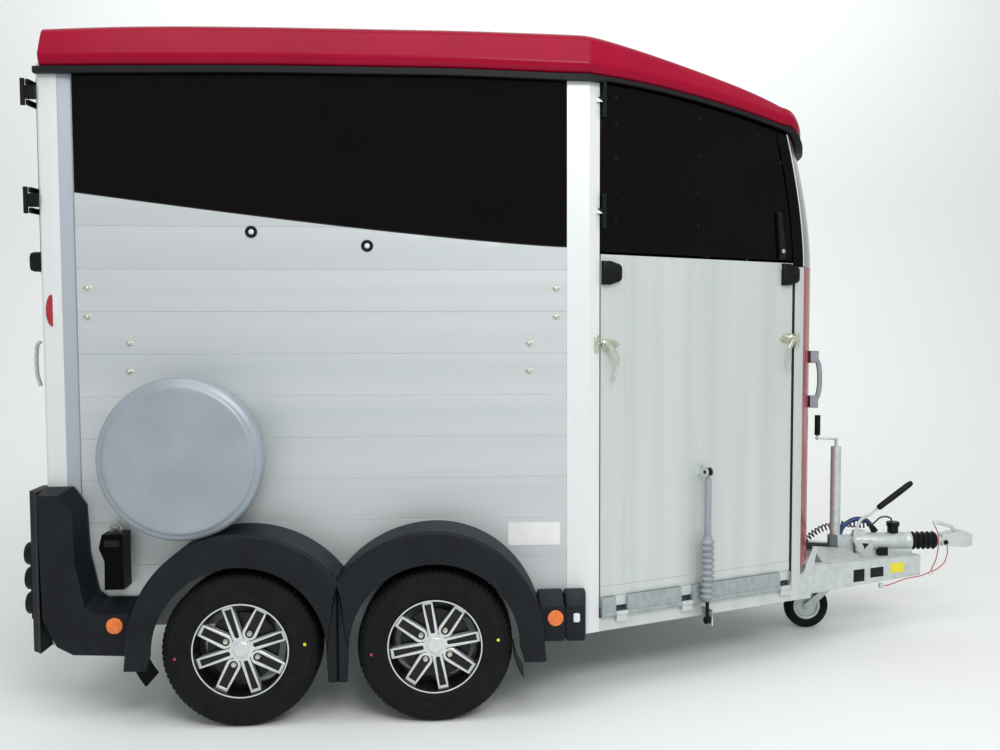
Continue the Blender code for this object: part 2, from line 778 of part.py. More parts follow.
def make_rear_corners():
    """Mouldings that wrap each rear corner and carry the lamps; an arm runs forward to the mudguard."""
    wall = -half_width - 0.0025
    back = rear_plane - seat_gap
    arm = -guard_end - 0.003 - rear_plane
    # ahead of the rear plane and up, at the wall and then at the face
    edge = (
        (0.000, 0.867, 0.005, 0.850),
        (0.100, 0.867, 0.080, 0.850),
        (0.147, 0.800, 0.130, 0.785),
        (0.155, 0.620, 0.133, 0.600),
        (0.185, 0.475, 0.165, 0.435),
        (0.215, 0.449, 0.195, 0.412),
        (arm, 0.449, arm, 0.408),
        (arm, 0.252, arm, 0.252),
        (0.120, 0.257, 0.120, 0.261),
        (0.050, 0.290, 0.063, 0.292),
        (0.000, 0.380, 0.015, 0.392),
    )
    at_wall = [(rear_plane + x, z) for x, z, _, _ in edge]
    at_face = [(rear_plane + x, z) for _, _, x, z in edge]
    steps = ((at_wall, wall), (at_wall, wall - 0.018), (at_face, -corner_face))
    side = loft([[(x, y, z) for x, z in outline] for outline, y in steps])
    plan = [
        (back, -half_width + 0.070),
        (back, -corner_face + 0.014),
        (back - 0.014, -corner_face + 0.030),
        (rear_plane - 0.038, -corner_face + 0.050),
        (rear_plane - 0.038, -half_width + 0.056),
        (rear_plane - 0.030, -half_width + 0.070),
    ]
    behind = prism(plan, "Z", 0.264, 0.862)
    join = block(back - 0.010, rear_plane + 0.030, -corner_face + 0.035, wall, 0.40, 0.845)
    pair("rear_corner", joined(behind, side, join), black_plastic)
    lamp_x = rear_plane - 0.038 - seat_gap
    lamp_y = -half_width - 0.004
    margin = lamp_radius + 0.005
    low, high = lamp_heights[0] - margin, lamp_heights[-1] + margin
    base = block(lamp_x - 0.006, lamp_x, lamp_y - 0.055, lamp_y + 0.055, low, high)
    dome = [(0.0, 0.028), (0.022, 0.024), (0.038, 0.010), (lamp_radius, 0.0), (0.0, 0.0)]
    domes = [turned(dome, (lamp_x - 0.005, lamp_y, z), (-1, 0, 0), 16) for z in lamp_heights]
    pair("rear_lamps", joined(base, *domes), lens_red)


# Roof
def roof_half_width(x):
    """Half width of the roof in plan: rounded rear corners, straight sides, taper, then the nose arc."""
    straight = half_width + roof_overhang
    if x < roof_side_rear:
        share = (roof_side_rear - x) / (roof_side_rear - roof_rear)
        return straight - 0.20 * share**2
    bend = taper_start + 0.812 * roof_reach
    if x > bend:
        start = straight - (bend - taper_start) * tan(taper_angle)
        return start * sqrt(max(1 - ((x - bend) / (roof_tip - bend)) ** 2.4, 0.0))
    return straight - max(0.0, x - taper_start) * tan(taper_angle)


def ridge_at(x):
    """Height of the roof's middle line: level, then falling, and closing down on the rim at the nose."""
    rim = eave_at(x)
    rise = eave_height + roof_rise - ridge_fall * max(0.0, x - ridge_bend) - rim
    start = taper_start + 0.735 * roof_reach
    if x > start:
        rise *= sqrt(max(1 - ((x - start) / (roof_tip - start)) ** 2.6, 0.0))
    return rim + rise


roof_shares = (0.0144, 0.16, 0.30, 0.445, 0.59, 0.735, 0.831, 0.889, 0.937, 0.966, 0.990)
roof_stations = [roof_rear, roof_rear + 0.015, roof_side_rear, rear_plane + 0.03, 0.0, 0.80]
roof_stations += [taper_start + share * roof_reach for share in roof_shares]


def crown(half, low, band, top, steps=10):
    """Half-elliptical crown on a short upright band, from one rim over the top to the other."""
    points = [(-half, low), (-half, band)]
    for i in range(1, steps):
        turn = pi * (1 - i / steps)
        points.append((half * cos(turn), band + (top - band) * sin(turn)))
    return points + [(half, band), (half, low)]


def make_roof():
    """One moulded shell: crowned outside, hollow over the load space, solid at the rear and the nose."""
    sections = []
    for x in roof_stations:
        half, low, top = roof_half_width(x), eave_at(x), ridge_at(x)
        lift = min(roof_band, (top - low) * 0.4)
        outer = crown(half, low, low + lift, top)
        hollow = rear_plane + 0.02 < x < taper_start + 0.85 * roof_reach
        inner_half = half - roof_rim if hollow else half * 0.9
        inner_band = low + lift * 0.6 if hollow else low
        inner = crown(inner_half, low, inner_band, top - roof_skin if hollow else low)
        sections.append([(x, y, z) for y, z in outer + inner[::-1]])
    piece("roof", loft(sections), roof_red)


def rim_at(x):
    """Height of the roof's lower rim as the stations carry it, straight between two of them."""
    for low, high in zip(roof_stations, roof_stations[1:]):
        if low <= x <= high:
            share = (x - low) / (high - low)
            return eave_at(low) + (eave_at(high) - eave_at(low)) * share
    return eave_at(x)


def make_roof_trim():
    """Black rubber strip under the roof's rim, along both sides and round the nose."""
    stand = 0.004
    back = lean_at(nose_top - 0.062)
    last_x = on_taper(taper_length - back + 0.006, 0.0, 0.0).x
    stations = [x for x in roof_stations if taper_start + 0.01 < x < last_x - 0.02] + [last_x]
    line = [(rear_plane + 0.010, half_width + stand), (taper_start + 0.003, half_width + stand)]
    for x in stations:
        line.append((x, half_width - (x - taper_start) * tan(taper_angle) + stand / cos(taper_angle)))

    def ring(inner, outer, top):
        (x0, y0), (x1, y1) = inner, outer
        low = top - trim_height
        return [(x0, y0, low), (x1, y1, low), (x1, y1, top), (x0, y0, top)]

    sides = [ring((x, -y), (x, -y - trim_width), rim_at(x) - seat_gap) for x, y in line]
    # round the nose, in front of the window's top edge
    half = line[-1][1] - 0.02
    tip = nose_tip - 0.95 * back + 0.006
    front = []
    for i in range(11):
        y = -half + 2 * half * i / 10
        x = tip - (tip - last_x - 0.012) * (y / half) ** 2
        front.append(ring((x, y), (x + trim_width, y * 1.03), rim_at(x + trim_width) - seat_gap))
    other = [[(x, -y, z) for x, y, z in section] for section in sides[::-1]]
    piece("roof_trim", loft(sides + front + other), rubber)


# Nose
def nose_section(z, under_roof=False):
    """Plan loop of the curved nose at a height: outer arc, then the inner arc one thickness behind it."""
    back = lean_at(z)
    corner = on_taper(taper_length - back, 0.0, 0.0)
    inner_corner = on_taper(taper_length - back, -post_depth, 0.0)
    tip = nose_tip - 0.95 * back
    half, inner_half = abs(corner.y) - 0.0012, abs(inner_corner.y) - 0.0010

    def front(y):
        return tip - (tip - corner.x - 0.0008) * (y / corner.y) ** 2

    shares = [-1 + 2 * i / nose_steps for i in range(nose_steps + 1)]
    outer = [(front(half * t), half * t) for t in shares]
    inner = [(front(inner_half * t) - nose_thickness, inner_half * t) for t in shares[::-1]]
    rim = [rim_at(x) - 0.001 for x, _ in outer]
    heights = rim + rim[::-1] if under_roof else [z] * (2 * nose_steps + 2)
    return [(x, y, height) for (x, y), height in zip(outer + inner, heights)]


def make_nose():
    """Red panel below, tinted window above, and a grab handle on each side."""
    panel = loft([nose_section(nose_bottom), nose_section(nose_joint - seat_gap)])
    piece("nose_panel", panel, roof_red)
    sections = [nose_section(z) for z in lean_heights[:-1]] + [nose_section(nose_top - 0.005, True)]
    piece("nose_window", loft(sections), tinted_glass)
    face = [(x + 1.1 * seat_gap, y) for x, y, _ in nose_section(nose_bottom)[: nose_steps + 1]]
    behind = prism(face + [(nose_tip - 0.22, face[-1][1]), (nose_tip - 0.22, face[0][1])], "Z", 1.1, 1.5)
    low, high, stand, root_depth = 1.190, 1.425, 0.046, -0.012
    for name, y in (("right", -0.30), ("left", 0.30)):
        x = nose_tip - nose_bulge * (y / on_taper(taper_length, 0, 0).y) ** 2
        grip = ((root_depth, low), (stand - 0.012, low), (stand, low + 0.012))
        grip += ((stand, high - 0.012), (stand - 0.012, high), (root_depth, high))
        handle = tube([(x + out, y, z) for out, z in grip], 0.011)
        piece("grab_handle_" + name, cut(handle, behind.copy()), handle_grey)


# Doors and ramps of the tapered front
opening_first = b_post_run + moving_gap
opening_last = taper_length - front_post_width - moving_gap
strut_s = (opening_first + opening_last) / 2 + 0.007
ramp_knuckle_starts = [opening_first + share * (opening_last - opening_first) for share in (0.07, 0.40, 0.94)]
ramp_knuckle_width = 0.050


def make_front_sill():
    """Sill under the side ramp, with the ramp's hinge knuckles and the strut's lower plate."""
    z, n = ramp_hinge_height, ramp_axis_out
    spare = moving_gap - seat_gap * 1.5
    first, last = opening_first - spare, opening_last + spare
    shapes = [taper_prism(box(first, sill_bottom, last, sill_top), -post_depth, 0.0)]
    plate = box(strut_s + 0.0123, -0.004, strut_s + 0.0183, strut_out + 0.016)
    shapes.append(taper_plan(plate, 0.236, 0.300))
    for s in ramp_knuckle_starts:
        arm = box(s + 0.001, 0.300, s + ramp_knuckle_width - 0.001, z - 0.001)
        shapes.append(taper_prism(arm, -0.004, n + 0.004))
        shapes.append(taper_rod((s, n, z), (s + ramp_knuckle_width, n, z), hinge_radius, 12))
    piece("front_sill_right", joined(*shapes), aluminium)


def make_front_ramp():
    """Ramp leaf with its hinge bar, the strut's forked bracket, the latch barrels and the door buffers."""
    z, n = ramp_hinge_height, ramp_axis_out
    carrier = joint_empty("front_ramp_hinge", on_taper(0.5, n, z))
    outline = [(opening_first, ramp_bottom), (opening_last, ramp_bottom)]
    outline += [(opening_last, ramp_top - ramp_fall), (opening_first, ramp_top)]
    shapes = [taper_prism(outline, -leaf_thickness, 0.0)]
    ends = [opening_first]
    for s in ramp_knuckle_starts:
        ends += [s - seat_gap, s + ramp_knuckle_width + seat_gap]
    ends.append(opening_last)
    for a, b in zip(ends[::2], ends[1::2]):
        shapes.append(taper_rod((a, n, z), (b, n, z), hinge_radius, 12))
        shapes.append(taper_prism(box(a + 0.001, z + 0.001, b - 0.001, 0.40), -0.004, n + 0.002))
    for low in (strut_s - 0.0163, strut_s + 0.0113):
        cheek = box(low, -0.002, low + 0.005, strut_out + 0.012)
        shapes.append(taper_plan(cheek, strut_top - 0.02, strut_top + 0.02))
    pin_ends = [(strut_s + side * 0.019, strut_out, strut_top) for side in (-1, 1)]
    shapes.append(taper_rod(*pin_ends, 0.007, 12))
    latch_z, buffer_z = ramp_top - 0.413, ramp_top - 0.070
    for edge, inward in ((opening_first, 1), (opening_last, -1)):
        a, b = sorted((edge + inward * 0.004, edge + inward * 0.060))
        shapes.append(taper_prism(box(a, latch_z - 0.020, b, latch_z + 0.020), -0.001, 0.005))
        barrel = [(edge + inward * at, 0.016, latch_z) for at in (0.006, 0.050)]
        shapes.append(taper_rod(*barrel, 0.013, 12))
        a, b = sorted((edge + inward * 0.002, edge + inward * 0.070))
        shapes.append(taper_prism(box(a, buffer_z - 0.030, b, buffer_z + 0.030), -0.001, 0.022))
    piece("front_ramp", joined(*shapes), aluminium, carrier)
    return carrier


def make_strut(ramp):
    """Spring strut that carries the ramp's weight: a tube pinned to the ramp, and a rod in its bellows."""
    n, top = strut_out, strut_top
    hinge = joint_empty("strut_hinge", on_taper(strut_s, n, top), ramp)
    eye = taper_rod((strut_s - 0.011, n, top), (strut_s + 0.011, n, top), 0.016, 16)
    neck = taper_rod((strut_s, n, top - 0.008), (strut_s, n, top - 0.04), 0.0095, 12)
    body = taper_rod((strut_s, n, top - 0.026), (strut_s, n, strut_tube_bottom), strut_tube_radius, 16)
    bore = taper_rod((strut_s - 0.02, n, top), (strut_s + 0.02, n, top), 0.0073, 12)
    inside = strut_rod_radius + 0.0005
    hollow = taper_rod((strut_s, n, strut_tube_bottom - 0.05), (strut_s, n, top - 0.07), inside, 12)
    piece("strut_tube", cut(joined(eye, neck, body), bore, hollow), galvanised, hinge)
    slide = joint_empty("strut_slide", on_taper(strut_s, n, bellows_top), hinge)
    sleeve, well = strut_tube_radius + 0.0008, bellows_top - 0.136
    profile = [(0.0, well), (sleeve, well), (sleeve, bellows_top)]
    for i in range(bellows_ribs):
        z = bellows_top - i * bellows_pitch
        profile += [(0.0175, z), (0.0225, z - bellows_pitch / 2)]
    low = bellows_top - bellows_ribs * bellows_pitch
    profile += [(0.0165, low), (0.0, low)]
    bellows = turned(profile[::-1], on_taper(strut_s, n, 0), (0, 0, 1), 12)
    upper = taper_rod((strut_s, n, well - 0.010), (strut_s, n, top - 0.209), strut_rod_radius, 12)
    lower = taper_rod((strut_s, n, low + 0.010), (strut_s, n, strut_low_eye + 0.004), strut_rod_radius, 12)
    eye_ends = (strut_s - 0.010, n, strut_low_eye), (strut_s + 0.012, n, strut_low_eye)
    piece("strut_rod", joined(bellows, upper, lower, taper_rod(*eye_ends, 0.015, 16)), galvanised, slide)


def make_front_top_door():
    """Black door above the side ramp, hung on the B-post, with its upright handle."""
    s, n = b_post_run + 0.012, top_door_axis_out
    carrier = joint_empty("front_top_door_hinge", on_taper(s, n, (top_door_bottom + eave_height) / 2))
    last = opening_last
    outline = [(opening_first, top_door_bottom), (last, top_door_bottom - ramp_fall)]
    outline += [(last - lean_at(z), z) for z in lean_heights[1:3]]
    front_top = last - lean_at(nose_top)
    for i in range(7):
        top_s = front_top - (front_top - opening_first) * i / 6
        outline.append((top_s, eave_at(on_taper(top_s, 0, 0).x) - 0.034))
    shapes = [taper_prism(outline, -leaf_thickness, 0.0)]
    for drop in top_door_hinge_drops:
        z = eave_height - drop
        for low in (z + 0.0103, z - 0.0303):
            shapes.append(taper_rod((s, n, low), (s, n, low + 0.02), door_knuckle_radius, 12))
            shapes.append(taper_prism(box(s + 0.002, low + 0.001, s + 0.055, low + 0.019), -0.001, 0.014))
    low, high = top_door_bottom - 0.013, top_door_bottom + 0.192
    handle = [(last - 0.074, low), (last - 0.044, low), (last - 0.073, high), (last - 0.093, high)]
    shapes.append(taper_prism(handle, -0.001, 0.012))
    piece("front_top_door", joined(*shapes), black_gloss, carrier)


groom_door_first = 0.20
groom_door_back = 0.207  # behind the panel's front corner
groom_door_low = floor_top + 0.020
groom_door_high = eave_height - 0.370
groom_door_hinges = (groom_door_low + 0.290, groom_door_high - 0.300)


def make_left_front():
    """The left front is a fixed panel with the groom's door in it."""
    first, last = b_post_run + seat_gap, taper_length - front_post_width - seat_gap
    front_top = last - lean_at(nose_top) - 0.001
    outline = [(first, sill_bottom), (last, sill_bottom)]
    outline += [(last - lean_at(z) - 0.0005, z) for z in lean_heights]
    for i in range(1, 7):
        s = front_top - (front_top - first) * i / 6
        outline.append((s, eave_at(on_taper(s, 0, 0).x) - 0.012))
    door_first, door_last = groom_door_first, taper_length - groom_door_back
    low, high = groom_door_low, groom_door_high
    hole = taper_prism(box(door_first, low, door_last, high), -0.1, 0.1)
    panel = cut(taper_prism(outline, -wall_thickness, 0.0), hole)
    s, n, radius, half = door_last - 0.003, 0.016, 0.008, 0.020
    fixed, hung = [], []
    for z in groom_door_hinges:
        plan = [(s, n - 0.0075), (s, n + 0.0075), (s + 0.053, 0.012), (s + 0.053, -0.001)]
        plan.append((s + 0.0045, -0.001))
        fixed.append(taper_plan(plan, z - half + 0.001, z + half - 0.001))
        fixed.append(taper_rod((s, n, z - half), (s, n, z + half), radius, 12))
        for start in (z + half + seat_gap, z - 3 * half - seat_gap):
            hung.append(taper_rod((s, n, start), (s, n, start + 2 * half), radius, 12))
            hung.append(taper_prism(box(s - 0.08, start + 0.001, s, start + 2 * half - 0.001), -0.001, 0.014))
    piece("front_panel_left", mirrored(joined(panel, *fixed)), aluminium)
    axis = on_taper(s, n, sum(groom_door_hinges) / 2)
    carrier = joint_empty("groom_door_hinge", (axis.x, -axis.y, axis.z))
    gap = moving_gap
    leaf = taper_prism(box(door_first + gap, low + gap, door_last - gap, high - gap), -wall_thickness, 0.0)
    handle = taper_prism(box(door_first + 0.04, 1.15, door_first + 0.07, 1.27), -0.001, 0.018)
    piece("groom_door", mirrored(joined(leaf, *hung, handle)), aluminium, carrier)


# Rear ramp and doors
def make_rear_ramp():
    """Full-width rear ramp hinged at the floor."""
    width = post_back - 0.030 - 0.010
    axis_x, axis_z = rear_plane - seat_gap - 0.006, ramp_hinge_height
    carrier = joint_empty("rear_ramp_hinge", (axis_x, 0.0, axis_z))
    inner, top = rear_plane + leaf_thickness, rear_ramp_top
    shapes = [block(rear_plane - 0.002, inner, -width, width, ramp_bottom, top)]
    ends = [-0.60]
    for y in rear_ramp_knuckles:
        ends += [y - knuckle_half - pin_gap, y + knuckle_half + pin_gap]
    ends.append(0.60)
    for a, b in zip(ends[::2], ends[1::2]):
        shapes.append(rod((axis_x, a, axis_z), (axis_x, b, axis_z), hinge_radius, 12))
        web = (axis_x - 0.004, rear_plane + 0.010, a + 0.001, b - 0.001)
        shapes.append(block(*web, axis_z + 0.002, ramp_bottom + 0.04))
    shapes.append(block(rear_plane - 0.012, rear_plane + 0.005, -width, width, top - 0.06, top))
    piece("rear_ramp", joined(*shapes), aluminium, carrier)


def make_rear_doors():
    """Two black doors above the rear ramp, which fold round to the sides on the corner posts."""
    x, y = rear_door_axis
    outline = box(-half_width + 0.008, rear_door_bottom, -moving_gap / 2, rear_door_top)
    shapes = [prism(outline, "X", rear_plane - 0.0246, rear_plane - 0.0006)]
    length = 0.030
    for drop in rear_hinge_drops:
        z = eave_height - drop
        for low in (z + knuckle_half + pin_gap, z - knuckle_half - pin_gap - length):
            shapes.append(rod((x, y, low), (x, y, low + length), hinge_radius, 12))
            strap = (x + 0.004, rear_plane - 0.020, y, y + 0.130)
            shapes.append(block(*strap, low + 0.001, low + length - 0.001))
    leaf = joined(*shapes)
    for name, mesh, side in (("right", leaf, 1), ("left", mirrored(leaf), -1)):
        place = (x, side * y, (rear_door_bottom + rear_door_top) / 2)
        carrier = joint_empty("rear_door_" + name + "_hinge", place)
        piece("rear_door_" + name, mesh, black_gloss, carrier)


def make_side_fittings():
    """Spare wheel under its cover and the chock in its holder, both on the right-hand side."""
    wall = -half_width - seat_gap
    x, z = spare_place
    r = spare_radius
    profile = [(0.0, 0.2), (r - 0.037, 0.2), (r - 0.010, 0.19), (r, 0.165), (r, 0.03), (r - 0.012, 0.0)]
    disc = turned(profile + [(0.0, 0.0)], (x, wall - 0.012, z), (0, -1, 0), 32)
    bracket = rod((x, wall, z), (x, wall - 0.02, z), 0.10, 12)
    piece("spare_wheel_cover", joined(disc, bracket), cover_grey)
    offsets = ((-0.037, 0.700), (0.039, 0.700), (0.039, 0.495), (-0.031, 0.495), (-0.029, 0.60))
    offsets += ((-0.049, 0.650),)
    body = prism([(chock_x + a, b) for a, b in offsets], "Y", wall - 0.09, wall)
    loop = [(0.011, 0.003), (0.014, 0.0), (0.011, -0.003), (0.008, 0.0)]
    ring = turned(loop, (chock_x, wall - 0.045, 0.707), (0, 1, 0), 12)
    piece("wheel_chock", joined(body, ring), black_plastic)


# Drawbar, coupling and jockey wheel
def drawbar_half_at(x):
    return drawbar_tip_half + (drawbar_front - x) * drawbar_slope


def make_drawbar():
    """A-frame of two deep channels running back under the floor, and the plate that joins them in front."""
    shapes = []
    for side in (-1, 1):
        start = Vector((drawbar_rear, side * drawbar_half_at(drawbar_rear), 0))
        end = Vector((drawbar_front, side * drawbar_tip_half, 0))
        across = (end - start).normalized().cross(Vector((0, 0, 1))) * drawbar_wall / 2
        corners = [start + across, end + across, end - across, start - across]
        shapes.append(prism([(c.x, c.y) for c in corners], "Z", drawbar_bottom, drawbar_top))
    plate_rear = nose_tip - 0.04
    rear_half, front_half = drawbar_half_at(plate_rear), drawbar_tip_half + 0.015
    plate = [(plate_rear, -rear_half), (drawbar_front, -front_half)]
    plate += [(x, -y) for x, y in plate[::-1]]
    shapes.append(prism(plate, "Z", drawbar_top - 0.006, plate_top))
    cross_x = drawbar_rear + 0.46
    reach = drawbar_half_at(cross_x) - 0.005
    shapes.append(block(cross_x, cross_x + 0.05, -reach, reach, drawbar_bottom + 0.02, drawbar_top - 0.01))
    # eye block for the breakaway cable, outside the right-hand channel
    eye_x = breakaway_route[0][0] - seat_gap
    eye_y = -drawbar_half_at(eye_x)
    shapes.append(block(eye_x - 0.020, eye_x, eye_y - 0.034, eye_y - 0.010, 0.226, 0.246))
    hole = rod((jockey_x, 0, 0.1), (jockey_x, 0, 0.5), jockey_tube_radius + 2 * seat_gap, 24)
    piece("drawbar", cut(joined(*shapes), hole), galvanised)


def make_overrun():
    """Overrun device with its round housing, cable bracket and handbrake lever, then the rubber gaiter."""
    base, z = plate_top + seat_gap, coupling_height
    pivot_x, pivot_y, pivot_z = drawbar_front - 0.284, -0.0597, 0.391
    lever = ((0.0, 0.0), (0.014, 0.079), (0.054, 0.149), (0.134, 0.221), (0.256, 0.293))
    bend = [(pivot_x + a, pivot_y, pivot_z + b) for a, b in lever]
    bracket_front = lighting_route[-1][0] - 0.065
    shapes = (
        block(jockey_x + 0.055, drawbar_front - 0.10, -0.045, 0.045, base, z - 0.02),
        rod((jockey_x + 0.035, 0, z), (gaiter_start - seat_gap, 0, z), 0.042, 20),
        block(bracket_front - 0.08, bracket_front, -0.05, 0.05, base, z + 0.03),
        rod((pivot_x, -0.045, pivot_z), (pivot_x, -0.070, pivot_z), 0.024, 16),
        tube(bend, 0.009),
        tube(bend[-2:], 0.015, 3),
    )
    piece("overrun_body", joined(*shapes), galvanised)
    profile = [(0.0, 0.0)]
    for i in range(gaiter_ribs):
        x = i * gaiter_length / gaiter_ribs
        profile += [(0.030, x + 0.002), (0.044, x + 0.012), (0.030, x + 0.022)]
    profile.append((0.0, gaiter_length))
    piece("gaiter", turned(profile[::-1], (gaiter_start, 0, z), (1, 0, 0), 14), rubber)


def make_coupling():
    """Ball coupling head on the overrun shaft: a cast body open below for the ball, and its lever."""
    z = coupling_height
    start = gaiter_start + gaiter_length + seat_gap
    shaft = rod((start, 0, z), (start + 0.050, 0, z), 0.024, 20)
    # distance behind the tip, half width, depth and height of the casting
    stations = ((0.150, 0.028, 0.024, 0.030), (0.095, 0.034, 0.026, 0.040), (0.045, 0.040, 0.030, 0.045))
    stations += ((0.0, 0.026, 0.026, 0.032),)
    sections = []
    for behind, half, depth, height in stations:
        corners = box(-half, z - depth, half, z + height)
        sections.append([(coupling_tip - behind, y, level) for y, level in corners])
    socket = [(0.0, 0.020), (0.026, 0.020), (0.026, -0.06), (0.0, -0.06)]
    ball_socket = turned(socket, (coupling_tip - 0.043, 0, z - 0.012), (0, 0, 1), 16)
    grip = ((0.070, 0.035), (0.095, 0.066), (0.165, 0.086), (0.185, 0.084))
    lever = tube([(coupling_tip - behind, 0, z + up) for behind, up in grip], 0.009)
    piece("coupling_head", cut(joined(shaft, loft(sections), lever), ball_socket), galvanised)


def make_jockey():
    """Jockey wheel: outer tube clamped to the drawbar with its crank, a sliding leg, and a castor."""
    x, base, top = jockey_x, plate_top + seat_gap, jockey_tube_top
    handle_x = x - crank_throw
    shapes = (
        rod((x, 0, jockey_tube_bottom), (x, 0, top), jockey_tube_radius, 20),
        block(x, x + 0.0247, -0.030, 0.030, base + 0.002, base + 0.10),
        block(x - 0.045, x + 0.0244, -0.045, 0.045, base, base + 0.012),
        rod((x, 0, top - 0.01), (x, 0, top + 0.040), 0.008, 10),
        rod((x + 0.008, 0, top + 0.034), (handle_x - 0.009, 0, top + 0.040), 0.0055, 8),
        rod((handle_x, 0, top + 0.030), (handle_x, 0, top + 0.069), 0.006, 8),
        rod((handle_x, 0, top + 0.054), (handle_x, 0, top + 0.149), 0.014, 12),
    )
    bore = rod((x, 0, 0.1), (x, 0, top - 0.03), jockey_leg_radius + seat_gap, 20)
    piece("jockey_tube", cut(joined(*shapes), bore), galvanised)

    leg_holder = joint_empty("jockey_slide", (x, 0, 0.30))
    leg_bottom = 0.232
    piece("jockey_leg", rod((x, 0, leg_bottom), (x, 0, 0.62), jockey_leg_radius, 20), galvanised, leg_holder)

    fork_holder = joint_empty("jockey_swivel", (x, 0, leg_bottom - 0.012), leg_holder)
    r, wheel_x = jockey_wheel_radius, jockey_wheel_x
    shapes = [rod((x, 0, leg_bottom - 0.032), (x, 0, leg_bottom - seat_gap), 0.024, 16)]
    shapes.append(block(x - 0.030, x + 0.018, -0.038, 0.038, leg_bottom - 0.027, leg_bottom - 0.011))
    for side in (-1, 1):
        cheek = [(x + 0.02, leg_bottom - 0.010), (x - 0.03, leg_bottom - 0.008), (wheel_x - 0.02, r + 0.01)]
        cheek += [(wheel_x, r - 0.018), (wheel_x + 0.022, r), (x - 0.02, leg_bottom - 0.036)]
        cheek.append((x + 0.02, leg_bottom - 0.032))
        shapes.append(prism(cheek, "Y", side * 0.036, side * 0.041))
    shapes.append(rod((wheel_x, -0.045, r), (wheel_x, 0.045, r), 0.007, 12))
    piece("jockey_fork", joined(*shapes), galvanised, fork_holder)

    wheel_holder = joint_empty("jockey_wheel_axle", (wheel_x, 0, r), fork_holder)
    profile = [(0.0073, 0.028), (0.032, 0.028), (0.036, 0.018), (r - 0.030, 0.026), (r, 0.020)]
    profile += [(a, -b) for a, b in profile[::-1]]
    piece("jockey_wheel", turned(profile, (wheel_x, 0, r), (0, 1, 0), 20), rubber, wheel_holder)


def make_cords():
    """Curly lighting cable from the floor's front edge to its plug, and the red breakaway cable."""
    cords = (
        ("electric_cable", lighting_route, cable_radius, 0.034, cable_black),
        ("cable_lead", lead_route, lead_radius, 0.011, cable_black),
        ("breakaway_cable", breakaway_route, breakaway_radius, 0.016, cable_red),
        ("breakaway_lanyard", lanyard_route, breakaway_radius, 0.014, cable_red),
    )
    for name, points, radius, spacing, material in cords:
        piece(name, tube(smooth_route(points, spacing), radius), material)
    top = lead_route[-1][2] - seat_gap
    profile = [(0.0, 0.0), (0.026, 0.0), (0.026, 0.030), (0.031, 0.031)]
    profile += [(0.031, plug_length), (0.0, plug_length)]
    plug = turned(profile[::-1], (plug_x, 0.0, top - plug_length), (0, 0, 1), 16)
    piece("electric_plug", plug, black_plastic)


def make_partition():
    """Padded centre partition between the two stalls, hung between a front and a rear post."""
    end, half = 0.95, 0.014
    low, mid, high = 0.85, 1.55, 2.05
    shapes = [block(-end + 0.01, end - 0.01, -half, half, low, mid)]
    shapes += [block(x - 0.02, x + 0.02, -0.02, 0.02, floor_top + seat_gap, high) for x in (-end, end)]
    shapes.append(block(end - 0.40, end - 0.01, -half, half, mid - 0.01, high - 0.10))
    piece("partition", joined(*shapes), rubber)


make_side_walls()
make_rear_posts()
make_b_posts()
make_front_posts()
make_floor()
make_chassis()
make_axles()
make_wheels()
make_mudguards()
make_rear_corners()
make_roof()
make_roof_trim()
make_nose()
make_front_sill()
make_strut(make_front_ramp())
make_front_top_door()
make_left_front()
make_rear_ramp()
make_rear_doors()
make_side_fittings()
make_drawbar()
make_overrun()
make_coupling()
make_jockey()
make_cords()
make_partition()
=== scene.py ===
# Horse trailer: the looks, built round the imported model.
# Metres, +Z up, +X to the front. Places are measured from the ground point midway between the axles,
# and go into the model's frame in one step when a piece is made.
import math

import bmesh
import bpy
import numpy as np
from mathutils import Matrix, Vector


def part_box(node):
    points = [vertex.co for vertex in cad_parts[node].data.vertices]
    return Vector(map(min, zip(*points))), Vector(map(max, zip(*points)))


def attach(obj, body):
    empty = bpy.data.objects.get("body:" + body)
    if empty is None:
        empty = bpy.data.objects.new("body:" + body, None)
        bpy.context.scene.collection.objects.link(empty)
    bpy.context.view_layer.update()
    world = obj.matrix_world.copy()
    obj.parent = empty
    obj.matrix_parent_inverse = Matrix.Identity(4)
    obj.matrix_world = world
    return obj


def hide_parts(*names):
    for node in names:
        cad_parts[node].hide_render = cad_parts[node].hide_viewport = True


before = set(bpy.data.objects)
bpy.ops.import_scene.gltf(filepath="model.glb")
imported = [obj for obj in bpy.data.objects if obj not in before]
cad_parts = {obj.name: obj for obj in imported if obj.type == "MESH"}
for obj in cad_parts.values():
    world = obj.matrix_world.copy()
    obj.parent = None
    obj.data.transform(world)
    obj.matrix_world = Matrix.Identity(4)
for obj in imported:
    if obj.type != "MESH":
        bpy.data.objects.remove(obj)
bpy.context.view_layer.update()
print("frame loaded")

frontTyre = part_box("tyre_front_right")
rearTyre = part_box("tyre_rear_right")
axleMiddle = (frontTyre[0][0] + frontTyre[1][0] + rearTyre[0][0] + rearTyre[1][0]) / 4
toFrame = np.array([axleMiddle, 0.0, 0.0])

# sizes that several pieces share
body = {"half": 0.916, "rear": -1.090, "wheelHeight": 0.286, "axleHalf": 0.352}
taper = {"cornerX": 0.935, "cornerY": -0.916, "turn": math.radians(23.9), "length": 1.057}
sides = {"right": -1, "left": 1}


def xyz(x, y, z):
    # Three coordinates, each a number or an array, stacked into points.
    return np.stack(np.broadcast_arrays(*[np.asarray(v, float) for v in (x, y, z)]), axis=-1)


def onTaper(s, n, z):
    # Points of the tapered right side: the corner plus s along the heading plus n along the normal.
    c, d = math.cos(taper["turn"]), math.sin(taper["turn"])
    return xyz(taper["cornerX"] + s * c + n * d, taper["cornerY"] + s * d - n * c, z)


